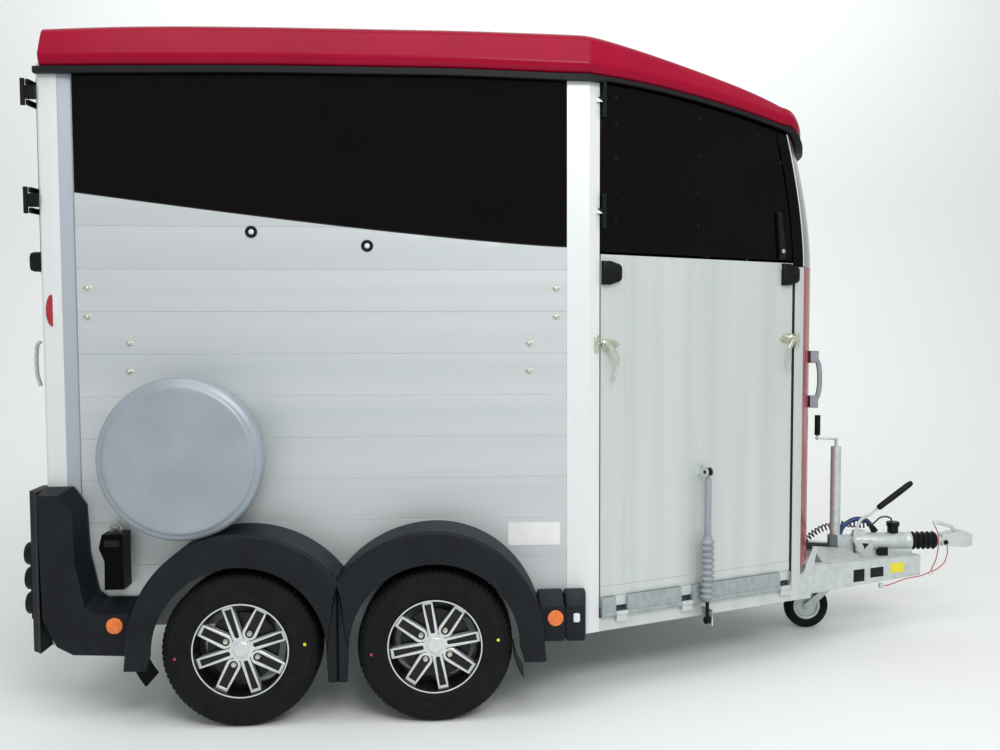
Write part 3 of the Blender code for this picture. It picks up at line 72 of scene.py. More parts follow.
def onSide(a, out, z):
    # Points of the straight right side: a forward, out from the wall's face.
    return xyz(a, -body["half"] - out, z)


def onRear(a, out, z):
    # Points of the rear face: a to the left, out to the back.
    return xyz(body["rear"] - out, a, z)


def onFloor(a, depth, b):
    # Points of a level outline: a forward, b to the left, depth upwards.
    return xyz(a, b, depth)


def mirrored(shape):
    # The same shape on the other side, its faces turned back outwards.
    points, faces = shape
    return points * np.array([1.0, -1.0, 1.0]), [face[::-1] for face in faces]


# Shapes: each is an array of points and a list of faces
def gridShape(grid, wrapU=False, wrapV=False, cap=False):
    # Quads between neighbouring rows and columns of points; the first and last row may be closed.
    nu, nv = grid.shape[:2]
    index = np.arange(nu * nv).reshape(nu, nv)
    low, high = (index, np.roll(index, -1, 0)) if wrapU else (index[:-1], index[1:])
    if wrapV:
        lowNext, highNext = np.roll(low, -1, 1), np.roll(high, -1, 1)
    else:
        low, high, lowNext, highNext = low[:, :-1], high[:, :-1], low[:, 1:], high[:, 1:]
    faces = np.stack([low, high, highNext, lowNext], -1).reshape(-1, 4).tolist()
    if cap:
        faces += [index[0].tolist(), index[-1].tolist()[::-1]]
    return grid.reshape(-1, 3), faces


def merged(*shapes):
    # Several shapes as one, their faces renumbered.
    points, faces, start = [], [], 0
    for p, f in shapes:
        points.append(p)
        faces += [[i + start for i in face] for face in f]
        start += len(p)
    return np.concatenate(points), faces


def axisFrame(axis):
    # Three unit vectors: two square to the axis, then the axis.
    a = np.asarray(axis, float)
    a = a / np.linalg.norm(a)
    helper = np.array([0.0, 0.0, 1.0]) if abs(a[2]) < 0.9 else np.array([1.0, 0.0, 0.0])
    e1 = np.cross(helper, a)
    e1 = e1 / np.linalg.norm(e1)
    return e1, np.cross(a, e1), a


def turnedShape(profile, centre, axis, steps=48, ripple=None, ring=False):
    # A profile of radius and height turned about an axis:
    # point = centre + height times axis + radius times (cos, sin) square to it.
    # It starts and ends on the axis, unless ring says that it closes on itself.
    profile = np.asarray(profile, float)
    e1, e2, a = axisFrame(axis)
    angle = np.linspace(0, 2 * np.pi, steps, endpoint=False)
    radius, height = profile[:, 0][None, :], profile[:, 1][None, :]
    if ripple is not None:
        radius, height = ripple(angle[:, None], radius, height)
    spoke = np.cos(angle)[:, None, None] * e1 + np.sin(angle)[:, None, None] * e2
    grid = np.asarray(centre, float) + radius[..., None] * spoke + height[..., None] * a
    return gridShape(grid, wrapU=True, wrapV=ring)


def sweptShape(path, profile, up=(0, 0, 1), wrap=False, scale=None):
    # A flat profile carried along a path: at each point it stands square to the path.
    path, profile = np.asarray(path, float), np.asarray(profile, float)
    if wrap:
        tangent = np.roll(path, -1, 0) - np.roll(path, 1, 0)
    else:
        tangent = np.gradient(path, axis=0)
    tangent = tangent / np.linalg.norm(tangent, axis=1)[:, None]
    side = np.cross(tangent, np.asarray(up, float))
    side = side / np.linalg.norm(side, axis=1)[:, None]
    lift = np.cross(side, tangent)
    size = np.ones(len(path)) if scale is None else np.asarray(scale, float)
    offset = profile[None, :, 0, None] * side[:, None] + profile[None, :, 1, None] * lift[:, None]
    return gridShape(path[:, None] + size[:, None, None] * offset, wrapU=wrap, wrapV=True, cap=not wrap)


def roundProfile(radius, sides=12, flat=1.0):
    # A circle, or an ellipse when flat is not one.
    angle = np.linspace(0, 2 * np.pi, sides, endpoint=False)
    return np.stack([radius * np.cos(angle), radius * flat * np.sin(angle)], -1)


def boxProfile(width, height, corner, steps=3):
    # A rectangle with rounded corners, as a closed profile.
    angle = np.linspace(0, np.pi / 2, steps + 1)
    arcs = []
    for turn, (sx, sy) in enumerate(((1, 1), (-1, 1), (-1, -1), (1, -1))):
        a = angle + turn * np.pi / 2
        arcs.append(
            np.stack(
                [
                    sx * (width / 2 - corner) + corner * np.cos(a),
                    sy * (height / 2 - corner) + corner * np.sin(a),
                ],
                -1,
            )
        )
    return np.concatenate(arcs)


def slabShape(outline, low, high, put):
    # A flat outline given depth: put(a, depth, b) says where a point of the outline lies.
    a, b = np.asarray(outline, float).T
    depth = np.array([low, high])[:, None] + 0 * a
    return gridShape(put(a + 0 * depth, depth, b + 0 * depth), wrapV=True, cap=True)


def domedShape(outline, heights, put):
    # An outline shrunk step by step as it rises: heights is a list of (depth, share of full size).
    outline = np.asarray(outline, float)
    middle = (outline.min(0) + outline.max(0)) / 2
    rows = []
    for depth, share in heights:
        ring = middle + (outline - middle) * share
        rows.append(put(ring[:, 0], np.full(len(ring), depth), ring[:, 1]))
    return gridShape(np.stack(rows), wrapV=True, cap=True)


def smoothPath(points, count):
    # Evenly spaced points on a smooth curve through the given ones (Catmull-Rom).
    points = np.asarray(points, float)
    ends = np.concatenate([[2 * points[0] - points[1]], points, [2 * points[-1] - points[-2]]])
    t = np.linspace(0, 1, 24, endpoint=False)[None, :, None]
    p0, p1, p2, p3 = (ends[i : len(ends) - 3 + i][:, None] for i in range(4))
    square, cube = (2 * p0 - 5 * p1 + 4 * p2 - p3) * t**2, (3 * p1 - p0 - 3 * p2 + p3) * t**3
    fine = (2 * p1 + (p2 - p0) * t + square + cube) / 2
    fine = np.concatenate([fine.reshape(-1, points.shape[1]), points[-1:]])
    along = np.concatenate([[0], np.cumsum(np.linalg.norm(np.diff(fine, axis=0), axis=1))])
    wanted = np.linspace(0, along[-1], count)
    return np.stack([np.interp(wanted, along, fine[:, i]) for i in range(points.shape[1])], -1)


def ellipse(a, b, radiusA, radiusB=None, sides=28):
    # An ellipse as an outline, its middle at (a, b).
    turn = np.linspace(0, 2 * np.pi, sides, endpoint=False)
    return np.stack([a + radiusA * np.cos(turn), b + (radiusB or radiusA) * np.sin(turn)], -1)


def rounded(a0, b0, a1, b1, corner, steps=4):
    # A rectangle with rounded corners between two points, as an outline.
    return boxProfile(a1 - a0, b1 - b0, corner, steps) + np.array([(a0 + a1) / 2, (b0 + b1) / 2])


def rodShape(start, end, radius, sides=24):
    # A round bar between two points, its ends slightly rounded.
    edge = 0.0008
    start, end = np.asarray(start, float), np.asarray(end, float)
    length = np.linalg.norm(end - start)
    profile = [(0, 0), (radius - edge, 0), (radius, edge), (radius, length - edge), (radius - edge, length),
               (0, length)]
    return turnedShape(profile, start, end - start, steps=sides)


def smoothStep(value, low, high):
    # Rises from 0 to 1 between low and high, level at both ends.
    t = np.clip((value - low) / (high - low), 0, 1)
    return t * t * (3 - 2 * t)


def makePiece(name, shape, finish, rides="chassis", bevel=None, segments=2, smooth=35, replaces=()):
    # One finished piece of the trailer: closed, facing outwards, at the origin, riding on its body.
    points, faces = shape
    mesh = bpy.data.meshes.new(name)
    mesh.from_pydata((points + toFrame).tolist(), [], faces)
    bm = bmesh.new()
    bm.from_mesh(mesh)
    bmesh.ops.remove_doubles(bm, verts=bm.verts, dist=0.00002)
    bmesh.ops.recalc_face_normals(bm, faces=bm.faces)
    bm.to_mesh(mesh)
    bm.free()
    mesh.materials.append(finishes[finish])
    mesh.shade_smooth()
    mesh.set_sharp_from_angle(angle=math.radians(smooth))
    piece = bpy.data.objects.new(name, mesh)
    bpy.context.scene.collection.objects.link(piece)
    if bevel:
        rounding = piece.modifiers.new("rounding", "BEVEL")
        rounding.width = bevel
        rounding.segments = segments
        rounding.limit_method = "ANGLE"
        rounding.angle_limit = math.radians(30)
        rounding.harden_normals = False
    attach(piece, rides)
    if replaces:
        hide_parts(*replaces)
    return piece


def bothSides(name, shape, finish, solid=None, **options):
    # A piece on the right and its mirror image on the left, each in place of its own side's solid if
    # one is named.
    for side, sideShape in (("right", shape), ("left", mirrored(shape))):
        replaces = [solid + "_" + side] if solid else ()
        makePiece(name + "_" + side, sideShape, finish, replaces=replaces, **options)


# Materials
def hexColour(code):
    # An sRGB hex value as linear light.
    channels = [int(code[i : i + 2], 16) / 255 for i in (0, 2, 4)]
    return [c / 12.92 if c <= 0.04045 else ((c + 0.055) / 1.055) ** 2.4 for c in channels] + [1.0]


def addNode(tree, kind, settings=None, links=None):
    # A node with its settings, and its sockets linked from other nodes' outputs.
    node = tree.nodes.new(kind)
    for key, value in (settings or {}).items():
        if hasattr(node, key):
            setattr(node, key, value)
        else:
            node.inputs[key].default_value = value
    for key, source in (links or {}).items():
        tree.links.new(source, node.inputs[key])
    return node


def finishMaterial(name, facts):
    # A surface from its facts: two close colours, roughness with its spread, metal, coat and a grain.
    # grain and patch are real sizes in mm; stretch draws the grain out along an axis.
    material = bpy.data.materials.new(name)
    material.use_nodes = True
    tree = material.node_tree
    shader = tree.nodes["Principled BSDF"]
    shader.inputs["Metallic"].default_value = facts.get("metallic", 0.0)
    shader.inputs["Coat Weight"].default_value = facts.get("coat", 0.0)
    shader.inputs["Coat Roughness"].default_value = facts.get("coatRough", 0.03)
    if "specular" in facts:
        shader.inputs["Specular IOR Level"].default_value = facts["specular"]
    place = addNode(tree, "ShaderNodeTexCoord").outputs["Object"]
    drawn = addNode(tree, "ShaderNodeMapping", {"Scale": facts.get("stretch", (1, 1, 1))},
                    {"Vector": place})
    patches = addNode(
        tree, "ShaderNodeTexNoise", {"Scale": 1000 / facts.get("patch", 120), "Detail": 4.0},
        {"Vector": drawn.outputs[0]}
    )
    tone = addNode(tree, "ShaderNodeValToRGB", {}, {"Fac": patches.outputs["Fac"]})
    tone.color_ramp.elements[0].position = 0.35
    tone.color_ramp.elements[1].position = 0.65
    tone.color_ramp.elements[0].color = hexColour(facts["dark"])
    tone.color_ramp.elements[1].color = hexColour(facts["light"])
    tree.links.new(tone.outputs[0], shader.inputs["Base Color"])
    grain = addNode(
        tree, "ShaderNodeTexNoise", {"Scale": 1000 / facts.get("grain", 4), "Detail": 3.0},
        {"Vector": drawn.outputs[0]}
    )
    low, high = facts["rough"]
    spread = addNode(tree, "ShaderNodeMapRange", {"To Min": low, "To Max": high},
                     {"Value": grain.outputs["Fac"]})
    tree.links.new(spread.outputs[0], shader.inputs["Roughness"])
    if facts.get("bump"):
        relief = addNode(
            tree, "ShaderNodeBump", {"Strength": facts.get("bumpStrength", 0.35),
                                     "Distance": facts["bump"] / 1000},
            {"Height": grain.outputs["Fac"]},
        )
        tree.links.new(relief.outputs[0], shader.inputs["Normal"])
    return material


materials = {
    # anodised aluminium: drawn lengthwise by the extrusion die, so its grain is long and level
    "plankAluminium": {"dark": "BFC4C5", "light": "C8CCCD", "rough": (0.36, 0.44), "metallic": 0.4,
                       "stretch": (0.02, 1, 1), "grain": 1.6, "patch": 90, "bump": 0.03,
                       "bumpStrength": 0.15},
    # the same alloy in upright planks on the ramps
    "rampAluminium": {"dark": "C2C8C6", "light": "CBD0CE", "rough": (0.36, 0.44), "metallic": 0.35,
                      "stretch": (1, 1, 0.02), "grain": 1.6, "patch": 90, "bump": 0.03,
                      "bumpStrength": 0.15},
    # anodised corner extrusions: smoother and a little lighter than the planks
    "postAluminium": {"dark": "DADDDD", "light": "E2E4E4", "rough": (0.34, 0.4), "metallic": 0.3,
                      "stretch": (1, 1, 0.02), "grain": 1.6, "patch": 160, "bump": 0.02,
                      "bumpStrength": 0.15},
    # the posts' inner cove: the same extrusion, darker and bluer as painted shade and painted dark
    # reflection, because the cove is turned from the light
    "covePaintedShade": {"dark": "A6ACB5", "light": "AEB4BD", "rough": (0.34, 0.4), "metallic": 0.3,
                      "stretch": (1, 1, 0.02), "grain": 1.6, "patch": 160},
    # hot-dip galvanised steel: cloudy grey patches with a soft crystal grain
    "galvanisedSteel": {"dark": "BEC6C4", "light": "CDD4D2", "rough": (0.4, 0.56), "metallic": 0.4,
                        "grain": 6, "patch": 30, "bump": 0.06, "bumpStrength": 0.2},
    # painted shade: the same steel, darker where it sits back under the ramp
    "shadedSteel": {"dark": "949E9F", "light": "A5AFAF", "rough": (0.4, 0.56), "metallic": 0.4, "grain": 6,
                    "patch": 24},
    # zinc-plated steel: brighter, faintly yellow
    "zincPlated": {"dark": "BDBDAC", "light": "D3D4C7", "rough": (0.22, 0.34), "metallic": 0.75, "grain": 3,
                   "patch": 18},
    # black gel-coated panel: very smooth, a mirror for the studio
    "blackGelcoat": {"dark": "060404", "light": "080605", "rough": (0.06, 0.09), "specular": 0.10,
                     "grain": 30, "patch": 260},
    # rotation-moulded polyethylene: matt with a fine leather grain
    "mouldedPolyethylene": {"dark": "101317", "light": "171B20", "specular": 0.2, "rough": (0.48, 0.62),
                            "grain": 1.6, "patch": 90, "bump": 0.10, "bumpStrength": 0.35},
    # moulded nylon: hard black fittings
    "mouldedNylon": {"dark": "0A0B0C", "light": "101113", "specular": 0.18, "rough": (0.38, 0.5),
                     "grain": 1.2, "patch": 40, "bump": 0.05, "bumpStrength": 0.25},
    # the chock: a denser black plastic with a soft sheen
    "chockPlastic": {"dark": "010201", "light": "030302", "specular": 0.06, "rough": (0.34, 0.44),
                     "grain": 1.2, "patch": 40},
    # extruded rubber: trim, seals, gaiter; the same black also serves as painted shade in holes, slots and
    # recesses
    "sealRubberAndShade": {"dark": "0D0E12", "light": "131419", "specular": 0.25, "rough": (0.5, 0.66), "grain": 2,
                   "patch": 50, "bump": 0.05},
    # tyre rubber: dusty black
    "tyreRubber": {"dark": "0E0F11", "light": "16171A", "specular": 0.15, "rough": (0.62, 0.82),
                   "grain": 2.5, "patch": 45, "bump": 0.12, "bumpStrength": 0.3},
    # red gel coat over moulded plastic: glossy with a faint orange peel
    "redGelcoat": {"dark": "8C0628", "light": "95092B", "rough": (0.2, 0.26), "specular": 0.12, "grain": 14,
                   "patch": 300, "bump": 0.02, "bumpStrength": 0.1},
    # smoked acrylic, seen from outside as a dark mirror
    "smokedAcrylic": {"dark": "687074", "light": "72797D", "rough": (0.12, 0.18), "specular": 0.12,
                      "grain": 30, "patch": 200},
    # silver-grey paint on a thin moulded cover
    "coverPaint": {"dark": "8E979F", "light": "969FA7", "rough": (0.34, 0.42), "metallic": 0.2, "grain": 2,
                   "patch": 160},
    # wheel faces turned on a lathe and lacquered
    "machinedAlloy": {"dark": "CDCFD0", "light": "DADCDC", "rough": (0.24, 0.32), "metallic": 0.5,
                      "grain": 0.8, "patch": 20},
    # gloss black paint in the wheel's pockets
    "wheelPaint": {"dark": "0C0C0E", "light": "121214", "rough": (0.16, 0.24), "specular": 0.3, "grain": 6,
                   "patch": 40},
    # moulded acrylic lenses: clear colour all through under a hard shine
    "redLens": {"dark": "8E0F18", "light": "A8141F", "rough": (0.08, 0.14), "coat": 0.6, "grain": 3,
                "patch": 12},
    "amberLens": {"dark": "D8641A", "light": "EE7A22", "rough": (0.1, 0.18), "coat": 0.5, "grain": 3,
                  "patch": 10},
    "clearLens": {"dark": "C9CCCE", "light": "DADDDF", "rough": (0.08, 0.16), "coat": 0.6, "grain": 3,
                  "patch": 10},
    # grey moulded nylon of the grab handles
    "greyNylon": {"dark": "7F838B", "light": "8D9199", "rough": (0.42, 0.55), "grain": 1.4, "patch": 50,
                  "bump": 0.05},
    # vinyl sheath of the cables: a dull black shine
    "cableSheath": {"dark": "0E0F10", "light": "161718", "rough": (0.35, 0.5), "grain": 2, "patch": 30},
    # the same sheath in red on the breakaway cable
    "redCable": {"dark": "A83A34", "light": "C04C42", "rough": (0.35, 0.5), "grain": 2, "patch": 20},
    # grey plastic bellows and painted strut tube
    "greyPlastic": {"dark": "868B92", "light": "91969C", "rough": (0.36, 0.46), "grain": 1.6, "patch": 40},
    # rolled steel channel behind the ramp's foot, darkened with painted shade; also used on the jockey's
    # clamp
    "darkChannel": {"dark": "5A6266", "light": "676F73", "rough": (0.45, 0.6), "metallic": 0.3, "grain": 6,
                    "patch": 24},
    # blue rubber hose, smooth and a little shiny
    "blueHose": {"dark": "0A2C60", "light": "0F3A78", "rough": (0.3, 0.4), "grain": 3, "patch": 30},
    # blank plates: smooth white and yellow film
    "whitePlate": {"dark": "DADBDA", "light": "E2E3E2", "rough": (0.35, 0.45), "grain": 3, "patch": 60},
    "yellowPlate": {"dark": "E2D22C", "light": "EADB3A", "rough": (0.35, 0.45), "grain": 3, "patch": 60},
    # rubber matting on the partition: dead matt with a coarse grain
    "boardRubber": {"dark": "1A1B1C", "light": "242527", "rough": (0.6, 0.75), "grain": 3, "patch": 60,
                    "bump": 0.2},
}
finishes = {name: finishMaterial(name, facts) for name, facts in materials.items()}
print("materials made:", len(finishes))

nodeFinish = {
    "plankAluminium": ["side_wall_right", "side_wall_left"],
    "rampAluminium": ["front_ramp", "rear_ramp", "groom_door", "front_panel_left", "front_sill_right",
                      "front_post_right", "front_post_left"],
    "postAluminium": ["rear_post_right", "rear_post_left", "b_post_right", "b_post_left", "floor"],
    "galvanisedSteel": ["chassis_frame", "axle_front", "axle_rear", "drawbar", "overrun_body",
                        "coupling_head", "jockey_tube", "jockey_leg", "jockey_fork", "strut_tube",
                        "strut_rod"],
    "chockPlastic": ["wheel_chock"],
    "blackGelcoat": ["upper_panel_right", "upper_panel_left", "front_top_door", "rear_door_right",
                     "rear_door_left"],
    "mouldedPolyethylene": ["mudguard_right", "mudguard_left", "rear_corner_right", "rear_corner_left"],
    "mouldedNylon": ["electric_plug", "rear_lamps_right", "rear_lamps_left"],
    "sealRubberAndShade": ["roof_trim", "gaiter"],
    "boardRubber": ["partition"],
    "tyreRubber": ["tyre_front_right", "tyre_front_left", "tyre_rear_right", "tyre_rear_left",
                   "jockey_wheel"],
    "redGelcoat": ["roof", "nose_panel"],
    "smokedAcrylic": ["nose_window"],
    "coverPaint": ["spare_wheel_cover"],
    "machinedAlloy": ["rim_front_right", "rim_front_left", "rim_rear_right", "rim_rear_left"],
    "greyNylon": ["grab_handle_right", "grab_handle_left"],
    "cableSheath": ["electric_cable", "cable_lead"],
    "redCable": ["breakaway_cable", "breakaway_lanyard"],
}
softEdged = ("b_post", "front_post", "rear_corner", "drawbar", "wheel_chock", "rear_door", "rear_ramp",
             "groom_door", "front_panel_left", "overrun_body", "electric_plug", "front_sill", "rear_lamps")
for finishName, nodeNames in nodeFinish.items():
    for nodeName in nodeNames:
        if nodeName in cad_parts:
            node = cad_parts[nodeName]
            node.data.materials.clear()
            node.data.materials.append(finishes[finishName])
            if nodeName.startswith(softEdged):
                softening = node.modifiers.new("softening", "BEVEL")
                softening.width = 0.0016
                softening.segments = 2
                softening.limit_method = "ANGLE"
                softening.angle_limit = math.radians(40)

# Camera
cameraFacts = {"lens": 39.74, "shiftX": -0.0626, "from": (0.522, -5.127, 1.538), "yaw": 0.0747,
               "pitch": 0.0623}
cameraData = bpy.data.cameras.new("camera")
cameraData.lens = cameraFacts["lens"]
cameraData.sensor_width = 36.0
cameraData.shift_x = cameraFacts["shiftX"]
cameraData.clip_end = 200.0
camera = bpy.data.objects.new("camera", cameraData)
yaw, pitch = cameraFacts["yaw"], cameraFacts["pitch"]
forward = Vector((math.sin(yaw) * math.cos(pitch), math.cos(yaw) * math.cos(pitch), -math.sin(pitch)))
camera.location = Vector(cameraFacts["from"]) + Vector(toFrame)
camera.rotation_euler = forward.to_track_quat("-Z", "Y").to_euler()
bpy.context.scene.collection.objects.link(camera)
bpy.context.scene.camera = camera


# Studio: one pale sheet that curves up behind, wide soft lamps
def paperMaterial(name, colour):
    # Pale paper, near white where the lamps reach it; it takes the trailer's shadow.
    material = bpy.data.materials.new(name)
    material.use_nodes = True
    tree = material.node_tree
    shader = tree.nodes["Principled BSDF"]
    shader.inputs["Base Color"].default_value = hexColour(colour)
    shader.inputs["Roughness"].default_value = 0.55
    shader.inputs["Specular IOR Level"].default_value = 0.3
    return material


studio = {"paper": "ECEEED", "sky": "F2F5F6", "skyStrength": 0.68, "near": -30.0, "depth": 7.0,
          "width": 40.0, "wall": 14.0, "bend": 3.0}
turn = np.linspace(0, np.pi / 2, 16)
bendY = studio["depth"] + studio["bend"] * np.sin(turn)
bendZ = studio["bend"] * (1 - np.cos(turn))
profileY = np.concatenate([[studio["near"]], bendY, [studio["depth"] + studio["bend"]]])
profileZ = np.concatenate([[0.0], bendZ, [studio["wall"]]])
across = np.array([-studio["width"], studio["width"]])[:, None]
sheetGrid = np.stack(np.broadcast_arrays(across, profileY[None], profileZ[None]), -1)
sheetPoints, sheetFaces = gridShape(sheetGrid)
paperMesh = bpy.data.meshes.new("paper")
paperMesh.from_pydata(sheetPoints.tolist(), [], sheetFaces)
paperMesh.materials.append(paperMaterial("studioPaper", studio["paper"]))
paperMesh.shade_smooth()
paper = bpy.data.objects.new("paper", paperMesh)
bpy.context.scene.collection.objects.link(paper)

world = bpy.data.worlds.new("studio")
bpy.context.scene.world = world
world.use_nodes = True
background = world.node_tree.nodes["Background"]
background.inputs["Color"].default_value = hexColour(studio["sky"])
background.inputs["Strength"].default_value = studio["skyStrength"]


def addLamp(name, power, size, at, towards):
    # A rectangular soft box at a place, turned to a point.
    data = bpy.data.lights.new(name, "AREA")
    data.shape = "RECTANGLE"
    data.size, data.size_y = size
    data.energy = power
    lamp = bpy.data.objects.new(name, data)
    lamp.location = Vector(at)
    lamp.rotation_euler = (Vector(towards) - Vector(at)).to_track_quat("-Z", "Y").to_euler()
    bpy.context.scene.collection.objects.link(lamp)
    return lamp


addLamp("overhead", 150, (6.0, 4.0), (-0.4, -3.4, 6.6), (0.0, 0.0, 0.8))
addLamp("frontSoft", 260, (4.0, 2.0), (1.6, -7.0, 5.4), (0.5, 0.0, 1.7))
addLamp("backSoft", 260, (12.0, 3.0), (0.0, 6.6, 7.5), (0.0, 10.0, 2.5))

scene = bpy.context.scene
scene.view_settings.view_transform = "Standard"
print("studio ready")

# Side walls: level aluminium planks, each slightly crowned, with a fine groove between two
wall = {"start": -0.9617, "end": 0.8537, "bottom": 0.335, "thick": 0.028, "pitch": 0.1585, "seam": 1.834,
        "edgeRear": 1.957, "edgeFront": 1.763, "edgeBend": 1.25, "groove": 0.0014, "slit": 0.0013,
        "crown": 0.0007}


def panelEdge(x):
    # Lower edge of the black upper panel: it falls forwards, ever less steeply.
    share = np.clip((wall["end"] - x) / (wall["end"] - wall["start"]), 0, 1)
    return wall["edgeFront"] + (wall["edgeRear"] - wall["edgeFront"]) * share ** wall["edgeBend"]


def plankRows(low, high, seams, facts):
    # Heights and depths up a planked face: flat crowned planks between narrow V grooves.
    edges = np.unique(np.concatenate([[low], [s for s in seams if low < s < high], [high]]))
    heights, depths = [low], [0.0]
    for start, end in zip(edges[:-1], edges[1:]):
        inside = np.linspace(start + facts["slit"], end - facts["slit"], 7)
        share = np.linspace(-1, 1, 7)
        heights += inside.tolist() + [end]
        depths += (facts["crown"] * (1 - share**2)).tolist() + [-facts["groove"]]
    depths[-1] = 0.0
    return np.array(heights), np.array(depths)


def wallShape():
    # The planked face between its lower edge and the black panel's edge, then the same edges one
    # thickness in.
    seams = wall["seam"] + wall["pitch"] * np.arange(-9, 2)
    rows, depths = plankRows(wall["bottom"], wall["edgeRear"], seams, wall)
    x = np.linspace(wall["start"], wall["end"], 70)[:, None]
    top = panelEdge(x)
    outer = onSide(x, depths[None] + 0 * x, np.minimum(rows[None], top))
    inner = [onSide(x, -wall["thick"] + 0 * x, z) for z in (top, wall["bottom"] + 0 * x)]
    return gridShape(np.concatenate([outer] + inner, axis=1), wrapV=True, cap=True)


bothSides("sideWall", wallShape(), "plankAluminium", solid="side_wall")

# Rear corner posts: a rounded arris, a flat face, then a shallow cove beside the planks
post = {"low": 0.266, "high": 2.4197, "out": 0.002, "round": 0.014, "coveStart": -1.015, "end": -0.9623,
        "coveDepth": 0.012, "inner": 0.034}


def rearPostShape():
    # A flat outline from the rounded arris through the cove to the back, carried from low to high.
    angle = np.radians(np.linspace(180, 270, 12))
    centreX, centreY = body["rear"] + post["round"], -body["half"] - post["out"] + post["round"]
    arris = np.stack([centreX + post["round"] * np.cos(angle), centreY + post["round"] * np.sin(angle)], -1)
    along = np.linspace(0, 1, 8)
    cove = np.stack(
        [
            post["coveStart"] + (post["end"] - post["coveStart"]) * along,
            -body["half"] - post["out"] + post["coveDepth"]
            * np.minimum(along / 0.86, (1 - along) / 0.14 + 0.1),
        ],
        -1,
    )
    inside = -body["half"] + post["inner"]
    back = np.array([[post["end"], inside], [centreX, inside], [centreX, inside + 0.030],
                     [body["rear"], inside + 0.030]])
    outline = np.concatenate([arris, cove, back])
    heights = np.array([post["low"], post["high"]])[:, None]
    return gridShape(xyz(outline[None, :, 0] + 0 * heights, outline[None, :, 1] + 0 * heights,
                         heights + 0 * outline[None, :, 0]),
                     wrapV=True, cap=True)


bothSides("rearPost", rearPostShape(), "postAluminium", solid="rear_post")
# painted shade: the cove's faces take the darker, bluer copy of the post's aluminium
for side in sides:
    shell = bpy.data.objects["rearPost_" + side].data
    shell.materials.append(finishes["covePaintedShade"])
    for polygon in shell.polygons:
        middle = polygon.center.x - toFrame[0]
        if post["coveStart"] < middle < post["end"] - 0.002 and abs(polygon.center.y) > body["half"] - 0.025:
            polygon.material_index = 1

# Planked skin of the tapered right side: upright planks on the ramp, level rails at its foot
skin = {"seams": [0.162, 0.340, 0.539, 0.889], "low": 0.4425, "first": 0.0552,
        "last": 0.9948, "top": 1.7365, "slope": 0.018, "slit": 0.0012, "crown": 0.0005, "groove": 0.0011,
        "proud": 0.0016}


def rampSkinShape():
    # Planks side by side along the ramp: each column runs from the foot to a top edge that falls forwards.
    along, depths = plankRows(skin["first"], skin["last"], skin["seams"], skin)
    # a small ridge stands beside each seam, where one plank hooks over the next
    for seam in skin["seams"]:
        depths = depths + 0.0006 * (np.abs(along - seam - 0.008) < 0.005)
    top = skin["top"] - skin["slope"] * (along - skin["first"]) / (skin["last"] - skin["first"])
    heights = np.stack([np.full_like(along, skin["low"]), top], -1)
    outer = onTaper(along[:, None], skin["proud"] + depths[:, None], heights)
    inner = onTaper(along[:, None], 0.0003, heights[:, ::-1])
    return gridShape(np.concatenate([outer, inner], axis=1), wrapV=True, cap=True)


makePiece("rampPlanks", rampSkinShape(), "rampAluminium", rides="front_ramp")


def railShape(low, high, proud):
    # A level extrusion across the ramp's foot, with rounded long edges.
    outline = boxProfile(high - low, proud - 0.0003, 0.0008, 2)
    s = np.array([skin["first"], skin["last"]])
    middle = (low + high) / 2
    return gridShape(onTaper(s[:, None], (proud + 0.0003) / 2 + outline[None, :, 1],
                             middle + outline[None, :, 0]),
                     wrapV=True, cap=True)


for name, low, high, proud in (("upper", 0.4015, 0.4415, 0.0026), ("lower", 0.3610, 0.4000, 0.0040)):
    makePiece("rampRail_" + name, railShape(low, high, proud), "rampAluminium", rides="front_ramp")
print("walls and ramp")

# Moulded roof: one shell, crowned across, with a lip that rolls in under its lower edge
roof = {"rear": -1.170, "straight": -1.066, "overhang": 0.039, "nose": 1.9415, "bend": 1.78, "ridge": 2.705,
        "ridgeBend": 0.950, "fall": 0.320, "ridgeNose": 1.56, "lip": 0.042, "tuck": 0.026, "skin": 0.014}
# how the rim runs: level at its height, curving down from a place, level again, then down round the nose
rim = {"height": 2.420, "bendFrom": 0.9, "bendDrop": 0.152, "bendPower": 1.79, "flatFrom": 1.78,
       "flatSlope": 0.03, "rearDroop": 0.015, "middleDroop": 0.012, "noseDrop": 0.080, "noseFrom": 1.80,
       "noseTo": 1.955}


def eaveAt(x):
    # Lower rim of the roof: level, then falling away to the nose.
    return rim["height"] - rim["bendDrop"] * np.maximum(0.0, x - rim["bendFrom"]) ** rim["bendPower"]


def rimAt(x):
    # Visible rim of the moulding: it droops a little to the rear and ahead of the B-post, then runs level.
    rear = rim["rearDroop"] * np.clip((-0.25 - x) / 0.85, 0, 1) ** 1.2
    flat = rim["flatSlope"] * np.maximum(0.0, x - rim["flatFrom"])
    middle = rim["middleDroop"] * smoothStep(x, 0.35, 0.95)
    nose = rim["noseDrop"] * smoothStep(x, rim["noseFrom"], rim["noseTo"])
    return eaveAt(np.minimum(x, rim["flatFrom"])) - flat - rear - middle - nose


def roofHalf(x):
    # Half width in plan: rounded rear corners, straight, tapered, then a flat arc round the nose.
    straight = body["half"] + roof["overhang"]
    slope = math.tan(taper["turn"])
    rounded = straight * np.clip((x - roof["rear"]) / (roof["straight"] - roof["rear"]), 0.004, 1) ** 0.4
    tapered = straight - np.maximum(0.0, x - taper["cornerX"]) * slope
    atBend = straight - (roof["bend"] - taper["cornerX"]) * slope
    share = np.clip((x - roof["bend"]) / (roof["nose"] - roof["bend"]), 0, 1)
    arc = atBend * np.sqrt(np.maximum(1 - share**2.4, 0))
    return np.where(x > roof["bend"], arc, np.minimum(rounded, tapered))


